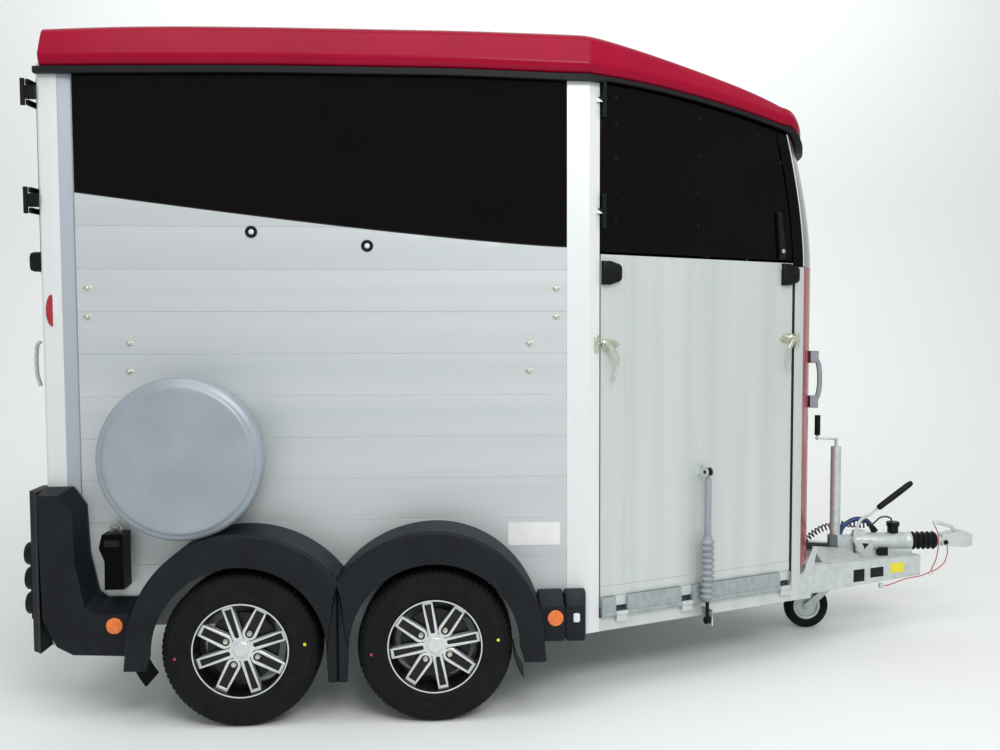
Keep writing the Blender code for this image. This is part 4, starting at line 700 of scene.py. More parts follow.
def ridgeAt(x):
    # Height of the middle line above the rim, closing down to nothing at the nose.
    past = x - roof["ridgeBend"]
    fall = roof["fall"] * (np.sqrt(past**2 + 0.07**2) + past) / 2
    full = (roof["ridge"] - 0.0015 - fall - rimAt(x)) * (1 - 0.10 * np.clip((-0.5 - x) / 0.55, 0, 1) ** 2)
    share = np.clip((x - roof["ridgeNose"]) / (roof["nose"] - roof["ridgeNose"]), 0, 1)
    return full * np.sqrt(np.maximum(1 - share**2.2, 0))


# half of the roof's section, from the lip to the middle: inward in metres, upward as a share
roofSection = smoothPath([(0.0, 0.0), (0.010, 0.10), (0.024, 0.235), (0.040, 0.365), (0.049, 0.405),
                          (0.066, 0.445), (0.120, 0.510), (0.250, 0.635), (0.450, 0.800), (0.700, 0.945),
                          (0.955, 1.0)], 64)


def roofShape():
    # Rows of one closed section each, from rear to nose: over the top from lip to lip, then back inside.
    nose = roof["nose"] - 0.0004
    x = np.concatenate(
        [
            roof["rear"] + 0.0005 + (roof["straight"] - roof["rear"]) * np.linspace(0, 1, 16) ** 2.2,
            np.linspace(roof["straight"] + 0.01, 0.88, 24),
            np.linspace(0.90, 1.70, 36),
            1.70 + (nose - 1.70) * np.sin(np.linspace(0.03, 1, 30) * np.pi / 2),
        ]
    )[:, None]
    half, low, rise = roofHalf(x), rimAt(x), ridgeAt(x)
    lip = np.minimum(roof["lip"], rise * 0.4)
    size = lip / roof["lip"]
    # over the top: the tucked lip, a nearly flat flank, a soft shoulder, then the low crown
    turn = np.linspace(-np.pi / 2, 0, 7)[None]
    lipY = half - roof["tuck"] * size * (1 - np.cos(turn))
    lipZ = low + lip * (1 + np.sin(turn))
    across = roofSection[None, :, 0] * half / roofSection[-1, 0]
    above = lip + (rise - lip) * roofSection[None, :, 1]
    overY = np.concatenate([lipY, half - across[:, 1:], across[:, -2:0:-1] - half, -lipY[:, ::-1]], 1)
    overZ = np.concatenate([lipZ, low + above[:, 1:], low + above[:, -2:0:-1], lipZ[:, ::-1]], 1)
    # back inside: flat at both ends, domed between, so that the shell is hollow over the load space
    hollow = smoothStep(x, body["rear"] + 0.01, body["rear"] + 0.08) * (1 - smoothStep(x, 1.74, 1.84))
    inside = np.linspace(np.pi, 0, 31)[None]
    reach = np.maximum(half - 0.062, half * 0.5)
    underY = reach * np.cos(inside)
    underZ = low + hollow * np.maximum(rise - roof["skin"], 0) * np.sin(inside) ** 0.8
    grid = np.concatenate([xyz(x, overY, overZ), xyz(x, underY, underZ)], axis=1)
    return gridShape(grid, wrapV=True, cap=True)


makePiece("roofShell", roofShape(), "redGelcoat", smooth=50, replaces=["roof"])
print("roof")

# Mudguards: one smooth moulding over both wheels, its face a flat band with a rounded outer arris
guard = {"face": 1.135, "wall": 0.9187, "skin": 0.009, "top": 0.434, "side": 0.405, "valley": 0.442,
         "opening": 0.312, "end": 0.763, "bottom": 0.228, "foot": 0.082, "middle": 0.170, "round": 0.014}


def guardPath(offset):
    # Rear half of the twin arch, foot to valley, drawn in by an offset; the valley then runs down the
    # middle.
    centreX, centreZ = -body["axleHalf"], body["wheelHeight"]
    side, top, valley = guard["side"] - offset, guard["top"] - offset, guard["valley"] - offset
    meet = math.atan2(math.sqrt(1 - (body["axleHalf"] / valley) ** 2), body["axleHalf"] / valley)
    rise = np.linspace(np.pi, np.pi / 2, 25)
    fall = np.linspace(np.pi / 2, meet, 21)[1:]
    foot = np.stack([np.linspace(-guard["end"] + offset, centreX - side, 7)[:-1],
                     np.linspace(guard["bottom"], centreZ, 7)[:-1]], -1)
    arch = np.concatenate(
        [
            np.stack([centreX + side * np.cos(rise), centreZ + top * np.sin(rise)], -1),
            np.stack([centreX + valley * np.cos(fall), centreZ + top * np.sin(fall)], -1),
        ]
    )
    last = arch[-1]
    down = np.stack([np.full(9, -0.0002 - offset * 0.9), np.linspace(last[1], guard["middle"], 10)[1:]], -1)
    return np.concatenate([foot, arch, down])


def openingPath(count):
    # Edge of the wheel opening, with as many points as the outer path.
    centreX, centreZ, radius = -body["axleHalf"], body["wheelHeight"], guard["opening"]
    turn = np.linspace(np.pi, 0, count - 6 - 9)
    foot = np.stack([np.linspace(-guard["end"] + guard["foot"], centreX - radius, 7)[:-1],
                     np.linspace(guard["bottom"], centreZ, 7)[:-1]], -1)
    arch = np.stack([centreX + radius * np.cos(turn), centreZ + radius * np.sin(turn)], -1)
    down = np.stack([np.linspace(-body["axleHalf"] + radius, -0.034, 10)[1:],
                     np.linspace(centreZ, guard["middle"], 10)[1:]], -1)
    return np.concatenate([foot, arch, down])


def guardHalfShape():
    # Copies of the outer path from the wall to the face, round the arris, then in to the wheel's opening.
    outer, inner = guardPath(0.0), guardPath(guard["skin"])
    opening = openingPath(len(outer))
    rows = []
    face, wallSide, thick, soft = -guard["face"], -guard["wall"], guard["skin"], guard["round"]
    rows.append(xyz(outer[:, 0], wallSide, outer[:, 1]))
    for share in np.linspace(0, 1, 5):
        a = share * np.pi / 2
        edge = outer + (guardPath(guard["skin"]) - outer) * (soft / thick) * (1 - math.cos(a)) * 0.9
        rows.append(xyz(edge[:, 0], face + soft * (1 - math.sin(a)), edge[:, 1]))
    near = outer + (opening - outer) * 0.93
    rows.append(xyz(near[:, 0], face, near[:, 1]))
    rows.append(xyz(opening[:, 0], face + 0.004, opening[:, 1]))
    rows.append(xyz(opening[:, 0], face + thick, opening[:, 1]))
    rows.append(xyz(inner[:, 0], face + thick, inner[:, 1]))
    rows.append(xyz(inner[:, 0], wallSide, inner[:, 1]))
    return gridShape(np.stack(rows, axis=1), wrapV=True, cap=True)


half = guardHalfShape()
otherHalf = (half[0] * np.array([-1.0, 1.0, 1.0]), [face[::-1] for face in half[1]])
bothSides("guardMoulding", merged(half, otherHalf), "mouldedPolyethylene", solid="mudguard", smooth=40)

# End cap ahead of the mudguard: a squared moulding drawn in to its face, split by a joint
cap = {"rear": 0.736, "front": 0.925, "low": 0.262, "high": 0.446, "split": 0.838, "drop": 0.033,
       "draw": 0.013}


def capShape(start, end, drawn):
    # Rounded block whose face is smaller than its back; drawn says how much the front end leans in.
    steps = ((0.9187, 0.0), (0.945, 0.0), (1.030, 0.75), (1.046, 0.92), (1.053, 1.0), (1.055, 1.12))
    outline = boxProfile(1.0, 1.0, 0.10, 4) + 0.5
    rows = []
    for y, share in steps:
        low, high = cap["low"] + 0.018 * share, cap["high"] - cap["drop"] * share
        last = end - drawn * share
        shrink = 0.004 * (share > 1)
        rows.append(xyz(start + shrink + (last - start - 2 * shrink) * outline[:, 0], -y,
                        low + shrink + (high - low - 2 * shrink) * outline[:, 1]))
    return gridShape(np.stack(rows), wrapV=True, cap=True)


bothSides("guardCap", merged(capShape(cap["rear"], cap["split"] - 0.001, 0.0),
                             capShape(cap["split"] + 0.001, cap["front"], cap["draw"])),
          "mouldedPolyethylene", smooth=30)

# Rubber flap hanging behind each wheel
flap = {"rearX": -0.735, "frontX": 0.640, "wide": 0.10, "low": 0.165, "high": 0.262, "in": 0.955,
        "out": 1.112, "thick": 0.005}


def flapShape(x, lean):
    # A thin sheet across the wheel's track, its lower edge curling back.
    z = np.linspace(flap["high"], flap["low"], 9)
    share = (flap["high"] - z) / (flap["high"] - flap["low"])
    line = np.stack([x + lean * share**1.6, z], -1)
    y = np.array([-flap["in"], -flap["out"]])
    front = np.stack([np.stack([np.full(2, a), y, np.full(2, b)], -1) for a, b in line])
    back = front + np.array([flap["thick"], 0, 0])
    grid = np.concatenate([front, back[:, ::-1]], axis=1)
    return gridShape(grid, wrapV=True, cap=True)


for name, x, lean in (("rear", flap["rearX"], 0.045), ("front", flap["frontX"], 0.035)):
    bothSides("flap_" + name, flapShape(x, lean), "sealRubberAndShade", bevel=0.001)
print("mudguards")

# Spare wheel under its moulded cover: a flat disc with a soft shoulder and a rolled bead
cover = {"x": -0.555, "z": 0.987}
coverAt = (cover["x"], -body["half"], cover["z"])
coverProfile = smoothPath([(0.0, 0.2118), (0.16, 0.2112), (0.240, 0.2096), (0.2600, 0.2080),
                           (0.2670, 0.2040), (0.2740, 0.1975), (0.2840, 0.1930), (0.2925, 0.1860),
                           (0.2965, 0.1760), (0.2972, 0.1640), (0.2940, 0.1600), (0.2925, 0.1560),
                           (0.2880, 0.120), (0.2760, 0.070), (0.2640, 0.040), (0.2560, 0.031),
                           (0.240, 0.030)], 90)
coverProfile = np.concatenate([coverProfile, [[0.0, 0.030]]])
coverShape = turnedShape(coverProfile, coverAt, (0, -1, 0), steps=160)
hubShape = turnedShape([(0.0, 0.0005), (0.10, 0.0005), (0.10, 0.031), (0.0, 0.031)],
                       (cover["x"], -body["half"], cover["z"]), (0, -1, 0), steps=48)
makePiece("spareCover", merged(coverShape, hubShape), "coverPaint", smooth=40,
          replaces=["spare_wheel_cover"])
print("spare cover")

# Road wheels
tyre = {"sipes": 78, "sipeDepth": 0.0042, "trackHalf": 1.030}
wheelPlaces = (("rear", -body["axleHalf"], 19.6), ("front", body["axleHalf"], 12.1))


def tyreShape(centre, side):
    # Tread with three grooves and cross cuts, rounded shoulders, and sidewalls with moulded rings.
    outside = [
        (0.1745, 0.070), (0.1765, 0.0775), (0.182, 0.0815), (0.188, 0.0822), (0.190, 0.0834),
        (0.192, 0.0834), (0.194, 0.0826), (0.212, 0.0848), (0.230, 0.0857), (0.2315, 0.0860),
        (0.2335, 0.0860), (0.235, 0.0854), (0.252, 0.0834), (0.2535, 0.0840), (0.2555, 0.0838),
        (0.257, 0.0822), (0.2660, 0.0790), (0.2745, 0.0735), (0.2805, 0.0660), (0.2838, 0.0590),
    ]
    tread = [(0.2845, 0.055)]
    for y in (0.042, 0.0, -0.042):
        tread += [(0.2856, y + 0.0062), (0.2785, y + 0.0042), (0.2785, y - 0.0042), (0.2856, y - 0.0062)]
    tread += [(0.2845, -0.055)]
    inside = [(r, -h) for r, h in outside[::-1]]
    profile = outside + tread + inside + [(0.166, -0.050), (0.166, 0.050)]

    def sipe(angle, radius, height):
        # Narrow cuts across the tread: deep where a wave round the tyre is near its top.
        wave = np.cos(tyre["sipes"] * angle + 26 * np.abs(height))
        cut = smoothStep(wave, 0.72, 0.9) * smoothStep(radius, 0.262, 0.2705) * (np.abs(height) < 0.078)
        return radius - tyre["sipeDepth"] * cut, height + 0 * angle

    return turnedShape(profile, centre, (0, side, 0), steps=468, ripple=sipe, ring=True)


def barrelShape(centre, side):
    # Rim barrel: bright lip, a deep well, and the inner flange.
    profile = [
        (0.1725, 0.0700), (0.1745, 0.0780), (0.1740, 0.0800), (0.1700, 0.0805), (0.1685, 0.0790),
        (0.1675, 0.0740), (0.1655, 0.060), (0.160, 0.050), (0.153, 0.020), (0.150, -0.030), (0.158, -0.070),
        (0.1725, -0.076), (0.1735, -0.070), (0.163, -0.060), (0.158, -0.030), (0.160, 0.020),
        (0.1655, 0.045), (0.1700, 0.060),
    ]
    return turnedShape(profile, centre, (0, side, 0), steps=128, ring=True)


def wheelPut(centre, side, turn):
    # Points of a wheel's face: u along a spoke, v across it, w out of the wheel.

    def put(u, w, v):
        # The point turned by the spoke's angle, then moved to the wheel's centre.
        c, s = math.cos(turn), math.sin(turn)
        x, z = u * c - v * s, u * s + v * c
        return xyz(centre[0] + x, centre[1] + side * w, centre[2] + z)

    return put


def petalOutline(kind, inset=0.0):
    # A spoke's outline from the hub outwards; every second one is wide at the hub, round a wheel nut.
    nut, plain = (0.040, 0.1655, 0.0265, 0.0220), (0.036, 0.1655, 0.0185, 0.0190)
    root, tip, rootHalf, tipHalf = nut if kind == "nut" else plain
    root, tip, rootHalf, tipHalf = root + inset * 0.8, tip - inset, rootHalf - inset, tipHalf - inset * 0.62
    if kind == "nut":
        half = np.linspace(np.pi * 0.5, np.pi * 1.5, 13)
        ring = np.stack([root + rootHalf + rootHalf * 0.98 * np.cos(half), rootHalf * np.sin(half)], -1)
        return np.concatenate([[[tip, -tipHalf]], [[tip, tipHalf]], ring])
    return np.array([(tip, -tipHalf), (tip, tipHalf), (root + 0.004, rootHalf), (root, rootHalf - 0.003),
                     (root, -rootHalf + 0.003), (root + 0.004, -rootHalf)])


wheelFace = {"high": 0.0600, "deep": 0.0520, "back": 0.0300, "frame": 0.0104}


def frameShape(outline, inner, put):
    # A flat-topped machined frame between two outlines of the same count, standing on the spoke.
    rows = [(outline, wheelFace["back"]), (outline, wheelFace["high"] - 0.0006),
            (outline + (inner - outline) * 0.10, wheelFace["high"]),
            (outline + (inner - outline) * 0.90, wheelFace["high"]), (inner, wheelFace["high"] - 0.0008),
            (inner, wheelFace["back"])]
    grid = np.stack([put(o[:, 0], np.full(len(o), w), o[:, 1]) for o, w in rows])
    points, faces = gridShape(grid, wrapV=True)
    count = len(outline)
    last = (len(rows) - 1) * count
    faces += [[j, (j + 1) % count, last + (j + 1) % count, last + j] for j in range(count)]
    return points, faces


for wheelName, wheelX, phase in wheelPlaces:
    for sideName, side in sides.items():
        name = wheelName + "_" + sideName
        centre = np.array([wheelX, side * tyre["trackHalf"], body["wheelHeight"]])
        rides = "wheel_" + name
        makePiece("tyre_" + name + "_rubber", tyreShape(centre, side), "tyreRubber", rides=rides, smooth=38,
                  replaces=["tyre_" + name])
        frames, pockets, nuts, recesses = [], [], [], []
        for i in range(8):
            kind = "nut" if i % 2 == 0 else "plain"
            turn = math.radians(phase + 45 * i + (43.3 if sideName == "right" else 40.0))
            put = wheelPut(centre, side, turn)
            outline, inner = petalOutline(kind), petalOutline(kind, wheelFace["frame"])
            frames.append(frameShape(outline, inner, put))
            pockets.append(slabShape(inner * 0.999 + 0.00005, wheelFace["back"] + 0.002, wheelFace["deep"],
                                     put))
            if kind == "nut":
                place = put(np.array([0.064]), np.array([0.0]), np.array([0.0]))[0]
                recesses.append(turnedShape([(0.0, 0.0530), (0.0120, 0.0530), (0.0130, 0.0538),
                                             (0.0148, 0.0540), (0.0150, 0.0525), (0.0150, 0.045),
                                             (0.0, 0.045)], place, (0, side, 0), steps=32))
                nuts.append(turnedShape([(0.0, 0.0640), (0.0050, 0.0640), (0.0086, 0.0628),
                                         (0.0096, 0.0610), (0.0096, 0.0540), (0.0108, 0.0535),
                                         (0.0108, 0.0500), (0.0, 0.0500)], place, (0, side, 0), steps=6))
        hub = turnedShape([(0.0, 0.0668), (0.018, 0.0664), (0.0265, 0.0655), (0.0285, 0.0640),
                           (0.0290, 0.0612), (0.0330, 0.0606), (0.0400, 0.0602), (0.0425, 0.0596),
                           (0.0425, 0.030), (0.0, 0.030)], centre, (0, side, 0), steps=72)
        backPlate = turnedShape([(0.0225, 0.022), (0.128, 0.022), (0.130, 0.020), (0.130, 0.014),
                                 (0.060, 0.010), (0.060, -0.020), (0.040, -0.034), (0.0225, -0.034)],
                                centre, (0, side, 0), steps=72, ring=True)
        makePiece("rim_" + name + "_spokes", merged(*frames, hub), "machinedAlloy", rides=rides, smooth=25,
                  replaces=["rim_" + name])
        makePiece("rim_" + name + "_barrel", merged(barrelShape(centre, side), backPlate), "wheelPaint",
                  rides=rides, smooth=35)
        lipRing = turnedShape([(0.1693, 0.0798), (0.1700, 0.0812), (0.1738, 0.0812), (0.1748, 0.0798),
                               (0.1748, 0.0780), (0.1693, 0.0780)],
                              centre, (0, side, 0), steps=144, ring=True)
        makePiece("rim_" + name + "_lip", lipRing, "machinedAlloy", rides=rides)
        makePiece("rim_" + name + "_pockets", merged(*pockets, *recesses), "wheelPaint", rides=rides,
                  smooth=30)
        # two paint spots for balance, red and yellow
        for spot, way in (("redLens", -1), ("yellowPlate", 1)):
            place = centre + np.array([way * 0.232, side * 0.0854, way * 0.022])
            dot = turnedShape([(0, 0), (0.0060, 0), (0.0055, 0.0010), (0, 0.0013)], place, (0, side, 0),
                              steps=16)
            makePiece("tyreSpot_" + spot + "_" + name, dot, spot, rides=rides)
        makePiece("rim_" + name + "_nuts", merged(*nuts), "zincPlated", rides=rides, smooth=25)
print("wheels")

# Small fittings of the straight side wall
boltPlaces = ((-0.925, 1.605), (-0.927, 1.498), (-0.778, 1.400), (-0.781, 1.294),
              (0.812, 1.605), (0.812, 1.497), (0.709, 1.396), (0.709, 1.291))
bolts = []
for a, z in boltPlaces:
    bolts.append(domedShape(ellipse(a, z, 0.0165, 0.0105), [(-0.0016, 1), (0.0012, 1), (0.0020, 0.92)],
                            onSide))
    dome = [(0.0, 1), (0.0045, 1), (0.0072, 0.84), (0.0088, 0.5), (0.0093, 0.1)]
    bolts.append(domedShape(ellipse(a, z, 0.0080), dome, onSide))
bothSides("wallBolts", merged(*bolts), "zincPlated", smooth=40)

grommetPlaces = ((-0.326, 1.814), (0.101, 1.764))
rings, plugs = [], []
for a, z in grommetPlaces:
    profile = [(0.0100, -0.001), (0.0225, -0.001), (0.0225, 0.0025), (0.0195, 0.0058), (0.0145, 0.0062),
               (0.0108, 0.0035)]
    rings.append(turnedShape(profile, onSide(a, 0.0, z), (0, -1, 0), steps=40, ring=True))
    profile = [(0, -0.001), (0.0098, -0.001), (0.0098, 0.002), (0.006, 0.0042), (0, 0.005)]
    plugs.append(turnedShape(profile, onSide(a, 0.0, z), (0, -1, 0), steps=32))
bothSides("grommets", merged(*rings), "mouldedNylon")
bothSides("grommetPlugs", merged(*plugs), "clearLens")

# blank white plate low on the wall
plate = slabShape(rounded(0.627, 0.618, 0.827, 0.706, 0.004), 0.0006, 0.0022, onSide)
makePiece("blankSign", plate, "whitePlate")

# thin black strip between the planks and the black panel, following its lower edge
edgeX = np.linspace(wall["start"] + 0.001, wall["end"] - 0.001, 60)
edgeLine = onSide(edgeX, 0.0004, panelEdge(edgeX))
bothSides("panelSeal", sweptShape(edgeLine, boxProfile(0.0022, 0.004, 0.0006, 2)), "sealRubberAndShade")

# oval marker lamps on the rear posts: red to the rear, clear to the front
lamp = {"a": -1.052, "z": 1.522, "halfA": 0.0215, "halfZ": 0.060}
lampSteps = [(0.001, 1), (0.004, 1), (0.0075, 0.90), (0.0095, 0.62), (0.0100, 0.2)]
bothSides("markerBase", domedShape(ellipse(lamp["a"], lamp["z"], lamp["halfA"] + 0.003,
                                           lamp["halfZ"] + 0.003, 48),
                                   [(-0.001, 1), (0.0038, 1), (0.0045, 0.95)], onSide), "clearLens")
outline = ellipse(lamp["a"], lamp["z"], lamp["halfA"], lamp["halfZ"], 48)
redHalf = np.stack([np.minimum(outline[:, 0], lamp["a"] + 0.004), outline[:, 1]], -1)
bothSides("markerLens", domedShape(redHalf, lampSteps, onSide), "redLens")

# round orange reflectors, one on the corner moulding and one on the mudguard's end cap
for name, a, z, out in (("rear", -0.820, 0.367, 0.1125), ("front", 0.800, 0.369, 0.1385)):
    steps = [(out, 1), (out + 0.005, 1), (out + 0.0068, 0.94), (out + 0.0070, 0.5)]
    bothSides("reflector_" + name, domedShape(ellipse(a, z, 0.0300, sides=40), steps, onSide), "amberLens")
markerSteps = [(0.136, 1), (0.142, 1), (0.1425, 0.9)]
bothSides("clearMarker", domedShape(rounded(0.868, 0.352, 0.892, 0.386, 0.006), markerSteps, onSide),
          "clearLens")

# chock's silver loop, and a thin black plate as painted shade in the slot of its holder
loopLine = smoothPath([(-0.848, -0.962, 0.700), (-0.848, -0.962, 0.722), (-0.829, -0.962, 0.738),
                       (-0.810, -0.962, 0.722), (-0.810, -0.962, 0.700)], 26)
makePiece("chockLoop", sweptShape(loopLine, roundProfile(0.0032, 10), up=(0, 1, 0)), "zincPlated")
# painted shade: a black plate standing for the shade inside the slot
pocket = slabShape(rounded(-0.858, 0.655, -0.802, 0.680, 0.008), 0.0905, 0.0925, onSide)
makePiece("chockSlotShade", pocket, "sealRubberAndShade")

# latch of the rear ramp: a slim upright handle
latchLine = smoothPath([(0.000, 0.0, 0.0), (0.014, 0.0, -0.020), (0.016, 0.0, -0.110),
                        (0.004, 0.0, -0.165)], 22)
rearLatch = sweptShape(np.array([-1.112, -0.875, 1.405]) + latchLine * np.array([-1, 1, 1]),
                       boxProfile(0.010, 0.022, 0.004), up=(0, 1, 0))
bothSides("rearLatch", rearLatch, "zincPlated", rides="rear_ramp")
print("wall fittings")

# Rear posts' black hinge blocks, on the axis of the rear doors
rearAxis = (-1.130, -0.930)
hingeBlocks = []
for z in (2.315, 1.925):
    hingeBlocks.append(rodShape((*rearAxis, z - 0.026), (*rearAxis, z + 0.026), 0.0085, 28))
    outline = rounded(-1.130, -0.9335, -1.086, -0.9145, 0.003)
    hingeBlocks.append(slabShape(outline, z - 0.0245, z + 0.0245, onFloor))
bothSides("rearHinge", merged(*hingeBlocks), "mouldedNylon", smooth=30)


# Side ramp: the leaf, hinge bar, buffers, latches and the strut's bracket
ramp = {"first": 0.055, "last": 0.995, "bottom": 0.360, "top": 1.737, "fall": 0.018, "thick": 0.030,
        "axisOut": 0.014, "axisZ": 0.331, "strut": 0.532, "strutOut": 0.050, "strutTop": 0.8685}
rampSpan = ramp["last"] - ramp["first"]
knuckles = [ramp["first"] + share * rampSpan for share in (0.07, 0.40, 0.94)]
leafOutline = [(ramp["first"], ramp["bottom"]), (ramp["last"], ramp["bottom"]),
               (ramp["last"], ramp["top"] - ramp["fall"]), (ramp["first"], ramp["top"])]
leaf = slabShape(leafOutline, -ramp["thick"], 0.0, onTaper)
hingeBars = []
ends = [ramp["first"]]
for s in knuckles:
    ends += [s - 0.0003, s + 0.0503]
ends.append(ramp["last"])
for a, b in zip(ends[::2], ends[1::2]):
    bar = rodShape(onTaper(a, ramp["axisOut"], ramp["axisZ"]), onTaper(b, ramp["axisOut"], ramp["axisZ"]),
                   0.010, 24)
    web = slabShape(rounded(a + 0.001, 0.334, b - 0.001, 0.400, 0.003), -0.003, 0.0158, onTaper)
    hingeBars += [bar, web]
makePiece("rampLeaf", leaf, "rampAluminium", rides="front_ramp", replaces=["front_ramp"])
# the hinge bar's steel is darkened with painted shade
makePiece("rampHinge", merged(*hingeBars), "shadedSteel", rides="front_ramp", smooth=30)

cheeks = []
for low in (ramp["strut"] - 0.0163, ramp["strut"] + 0.0113):
    outline = ellipse(0, 0, 0.018, 0.018, 32)
    outline[:, 0] = np.where(outline[:, 0] < 0, outline[:, 0] * 2.9, outline[:, 0]) + ramp["strutOut"]

    def cheekPut(n, depth, z, low=low):
        # Points of one cheek: n out from the ramp's face, depth along it.
        return onTaper(low + depth, n, ramp["strutTop"] + z)

    cheeks.append(slabShape(outline, 0.0, 0.005, cheekPut))
foot = slabShape(rounded(ramp["strut"] - 0.034, 0.846, ramp["strut"] + 0.034, 0.892, 0.006), 0.001, 0.0045,
                 onTaper)
makePiece("strutBracket", merged(*cheeks, foot), "galvanisedSteel", rides="front_ramp", smooth=30)
pin = rodShape(onTaper(ramp["strut"] - 0.0205, ramp["strutOut"], ramp["strutTop"]),
               onTaper(ramp["strut"] + 0.0205, ramp["strutOut"], ramp["strutTop"]), 0.0070, 24)
makePiece("strutPin", pin, "mouldedNylon", rides="front_ramp")


def bufferShape(start, end, z):
    # A rubber block: square at its rear end, drawn in and rounded at the other, with a hole in its face.
    half = 0.046
    corner = np.linspace(0, np.pi / 2, 7)
    bend = np.stack([end - 0.020 + 0.020 * np.sin(corner), z + half - 0.030 + 0.020 * np.cos(corner)], -1)
    outline = np.concatenate([[(start, z - half), (start, z + half), (end - 0.050, z + half)], bend,
                              bend[::-1] * [1, -1] + [0, 2 * z], [(end - 0.050, z - half)]])
    steps = [(0.0012, 1), (0.018, 0.99), (0.0215, 0.955), (0.023, 0.89)]
    block = domedShape(outline, steps, onTaper)
    rim = turnedShape([(0.006, 0.0), (0.0105, 0.0), (0.0105, 0.0245), (0.0085, 0.026), (0.006, 0.0245)],
                      onTaper(end - 0.022, 0.0, z), onTaper(0, 1, 0) - onTaper(0, 0, 0), steps=28,
                      ring=True)
    return merged(block, rim)


makePiece("rampBuffer_rear", bufferShape(0.057, 0.141, 1.666), "mouldedNylon", rides="front_ramp",
          smooth=40)
makePiece("rampBuffer_front", bufferShape(0.934, 1.020, 1.671), "mouldedNylon", rides="front_ramp",
          smooth=40)


def latchShape(s, z, way):
    # Over-centre latch: pointed base plate, round boss, and a slim handle that hangs down.
    plate = [(0.000, 0.0205), (0.034, 0.0215), (0.060, 0.014), (0.078, 0.0), (0.060, -0.014),
             (0.034, -0.0215), (0.0, -0.0205)]
    outline = np.array(plate) * np.array([way, 1]) + np.array([s - way * 0.010, z])
    base = domedShape(outline, [(0.0012, 1), (0.0042, 1), (0.0050, 0.97)], onTaper)
    normal = onTaper(0, 1, 0) - onTaper(0, 0, 0)
    boss = turnedShape([(0, 0.002), (0.0165, 0.002), (0.0165, 0.016), (0.0125, 0.020), (0.0125, 0.034),
                        (0.0105, 0.037), (0, 0.038)],
                       onTaper(s, 0.0, z), normal, steps=36)
    rivets = []
    for da, db in ((0.030, 0.010), (0.030, -0.010), (0.052, 0.0)):
        rivets.append(turnedShape([(0, 0.003), (0.0042, 0.003), (0.0042, 0.0065), (0.003, 0.008),
                                   (0, 0.0085)],
                                  onTaper(s + way * da, 0.0, z + db), normal, steps=18))
    points = [(s, 0.030, z), (s + way * 0.018, 0.037, z - 0.020), (s + way * 0.034, 0.040, z - 0.044),
              (s + way * 0.036, 0.038, z - 0.080), (s + way * 0.028, 0.034, z - 0.118),
              (s + way * 0.024, 0.034, z - 0.142)]
    line = smoothPath(points, 30)
    path = onTaper(line[:, 0], line[:, 1], line[:, 2])
    share = np.linspace(0, 1, 30)
    wide = 1.25 - 0.45 * share - 0.35 * smoothStep(share, 0.85, 1.0)
    handle = sweptShape(path, boxProfile(0.0150, 0.0062, 0.0026), up=normal, scale=wide)
    return merged(base, boss, handle, *rivets)


makePiece("rampLatch_rear", latchShape(0.072, 1.390, 1), "zincPlated", rides="front_ramp", smooth=35)
makePiece("rampLatch_front", latchShape(0.988, 1.402, -1), "zincPlated", rides="front_ramp", smooth=35)
for name, s in (("rear", 0.036), ("front", 1.020)):
    keeper = domedShape(rounded(s - 0.010, 1.360, s + 0.010, 1.426, 0.006),
                        [(0.0022, 1), (0.0095, 1), (0.0115, 0.9)], onTaper)
    makePiece("latchKeeper_" + name, keeper, "zincPlated", smooth=40)

# bracket on the ramp's upper edge, below the door's handle
bracket = slabShape(rounded(0.893, 1.690, 0.945, 1.713, 0.003), 0.0018, 0.0045, onTaper)
makePiece("handleBracket", bracket, "galvanisedSteel", rides="front_ramp")
print("ramp fittings")

# Sill under the ramp: a rolled channel behind the hinge, dark with painted shade
makePiece("sillChannel", slabShape(rounded(0.0505, 0.319, 1.0000, 0.3585, 0.002), -0.026, -0.0195, onTaper),
          "darkChannel")
# half-round plate that holds the foot of the strut
turn = np.linspace(np.pi, 2 * np.pi, 25)
lowerArc = np.stack([0.030 + 0.036 * np.cos(turn), 0.268 + 0.036 * np.sin(turn)], -1)
halfRound = np.concatenate([lowerArc,
                            [[0.066, 0.300], [-0.004, 0.300]]])


def footPut(n, depth, z):
    # Points of the foot plate: n out from the ramp's face, depth along it.
    return onTaper(ramp["strut"] + 0.0123 + depth, n, z)


makePiece("strutFootPlate", slabShape(halfRound, 0.0, 0.0055, footPut), "galvanisedSteel", smooth=30)

# Spring strut: a grey tube with its eye, and the ribbed grey bellows and stem below it
strut = {"tubeTop": 0.842, "tubeBottom": 0.575, "bellowsTop": 0.592, "ribs": 10, "pitch": 0.0248,
         "eye": 0.258}
up = (0, 0, 1)
strutAt = onTaper(ramp["strut"], ramp["strutOut"], 0.0)
tubeProfile = [(0, strut["tubeBottom"] - 0.02), (0.0138, strut["tubeBottom"] - 0.02),
               (0.0140, strut["tubeTop"] - 0.006), (0.0120, strut["tubeTop"]),
               (0.0075, strut["tubeTop"] + 0.002), (0.0075, ramp["strutTop"] - 0.006),
               (0, ramp["strutTop"] - 0.006)]
makePiece("strutTube", turnedShape(tubeProfile, strutAt, up, steps=40), "greyPlastic", rides="strut_tube",
          replaces=["strut_tube"])
eye = rodShape(onTaper(ramp["strut"] - 0.0108, ramp["strutOut"], ramp["strutTop"]),
               onTaper(ramp["strut"] + 0.0108, ramp["strutOut"], ramp["strutTop"]), 0.0150, 32)
makePiece("strutEye", eye, "mouldedNylon", rides="strut_tube")
profile = [(0, 0.607), (0.0185, 0.607), (0.0185, strut["bellowsTop"])]
for i in range(strut["ribs"]):
    z = strut["bellowsTop"] - i * strut["pitch"]
    for share, radius in ((0.06, 0.0200), (0.22, 0.0258), (0.38, 0.0283), (0.54, 0.0283), (0.72, 0.0256),
                          (0.90, 0.0204)):
        profile.append((radius, z - share * strut["pitch"]))
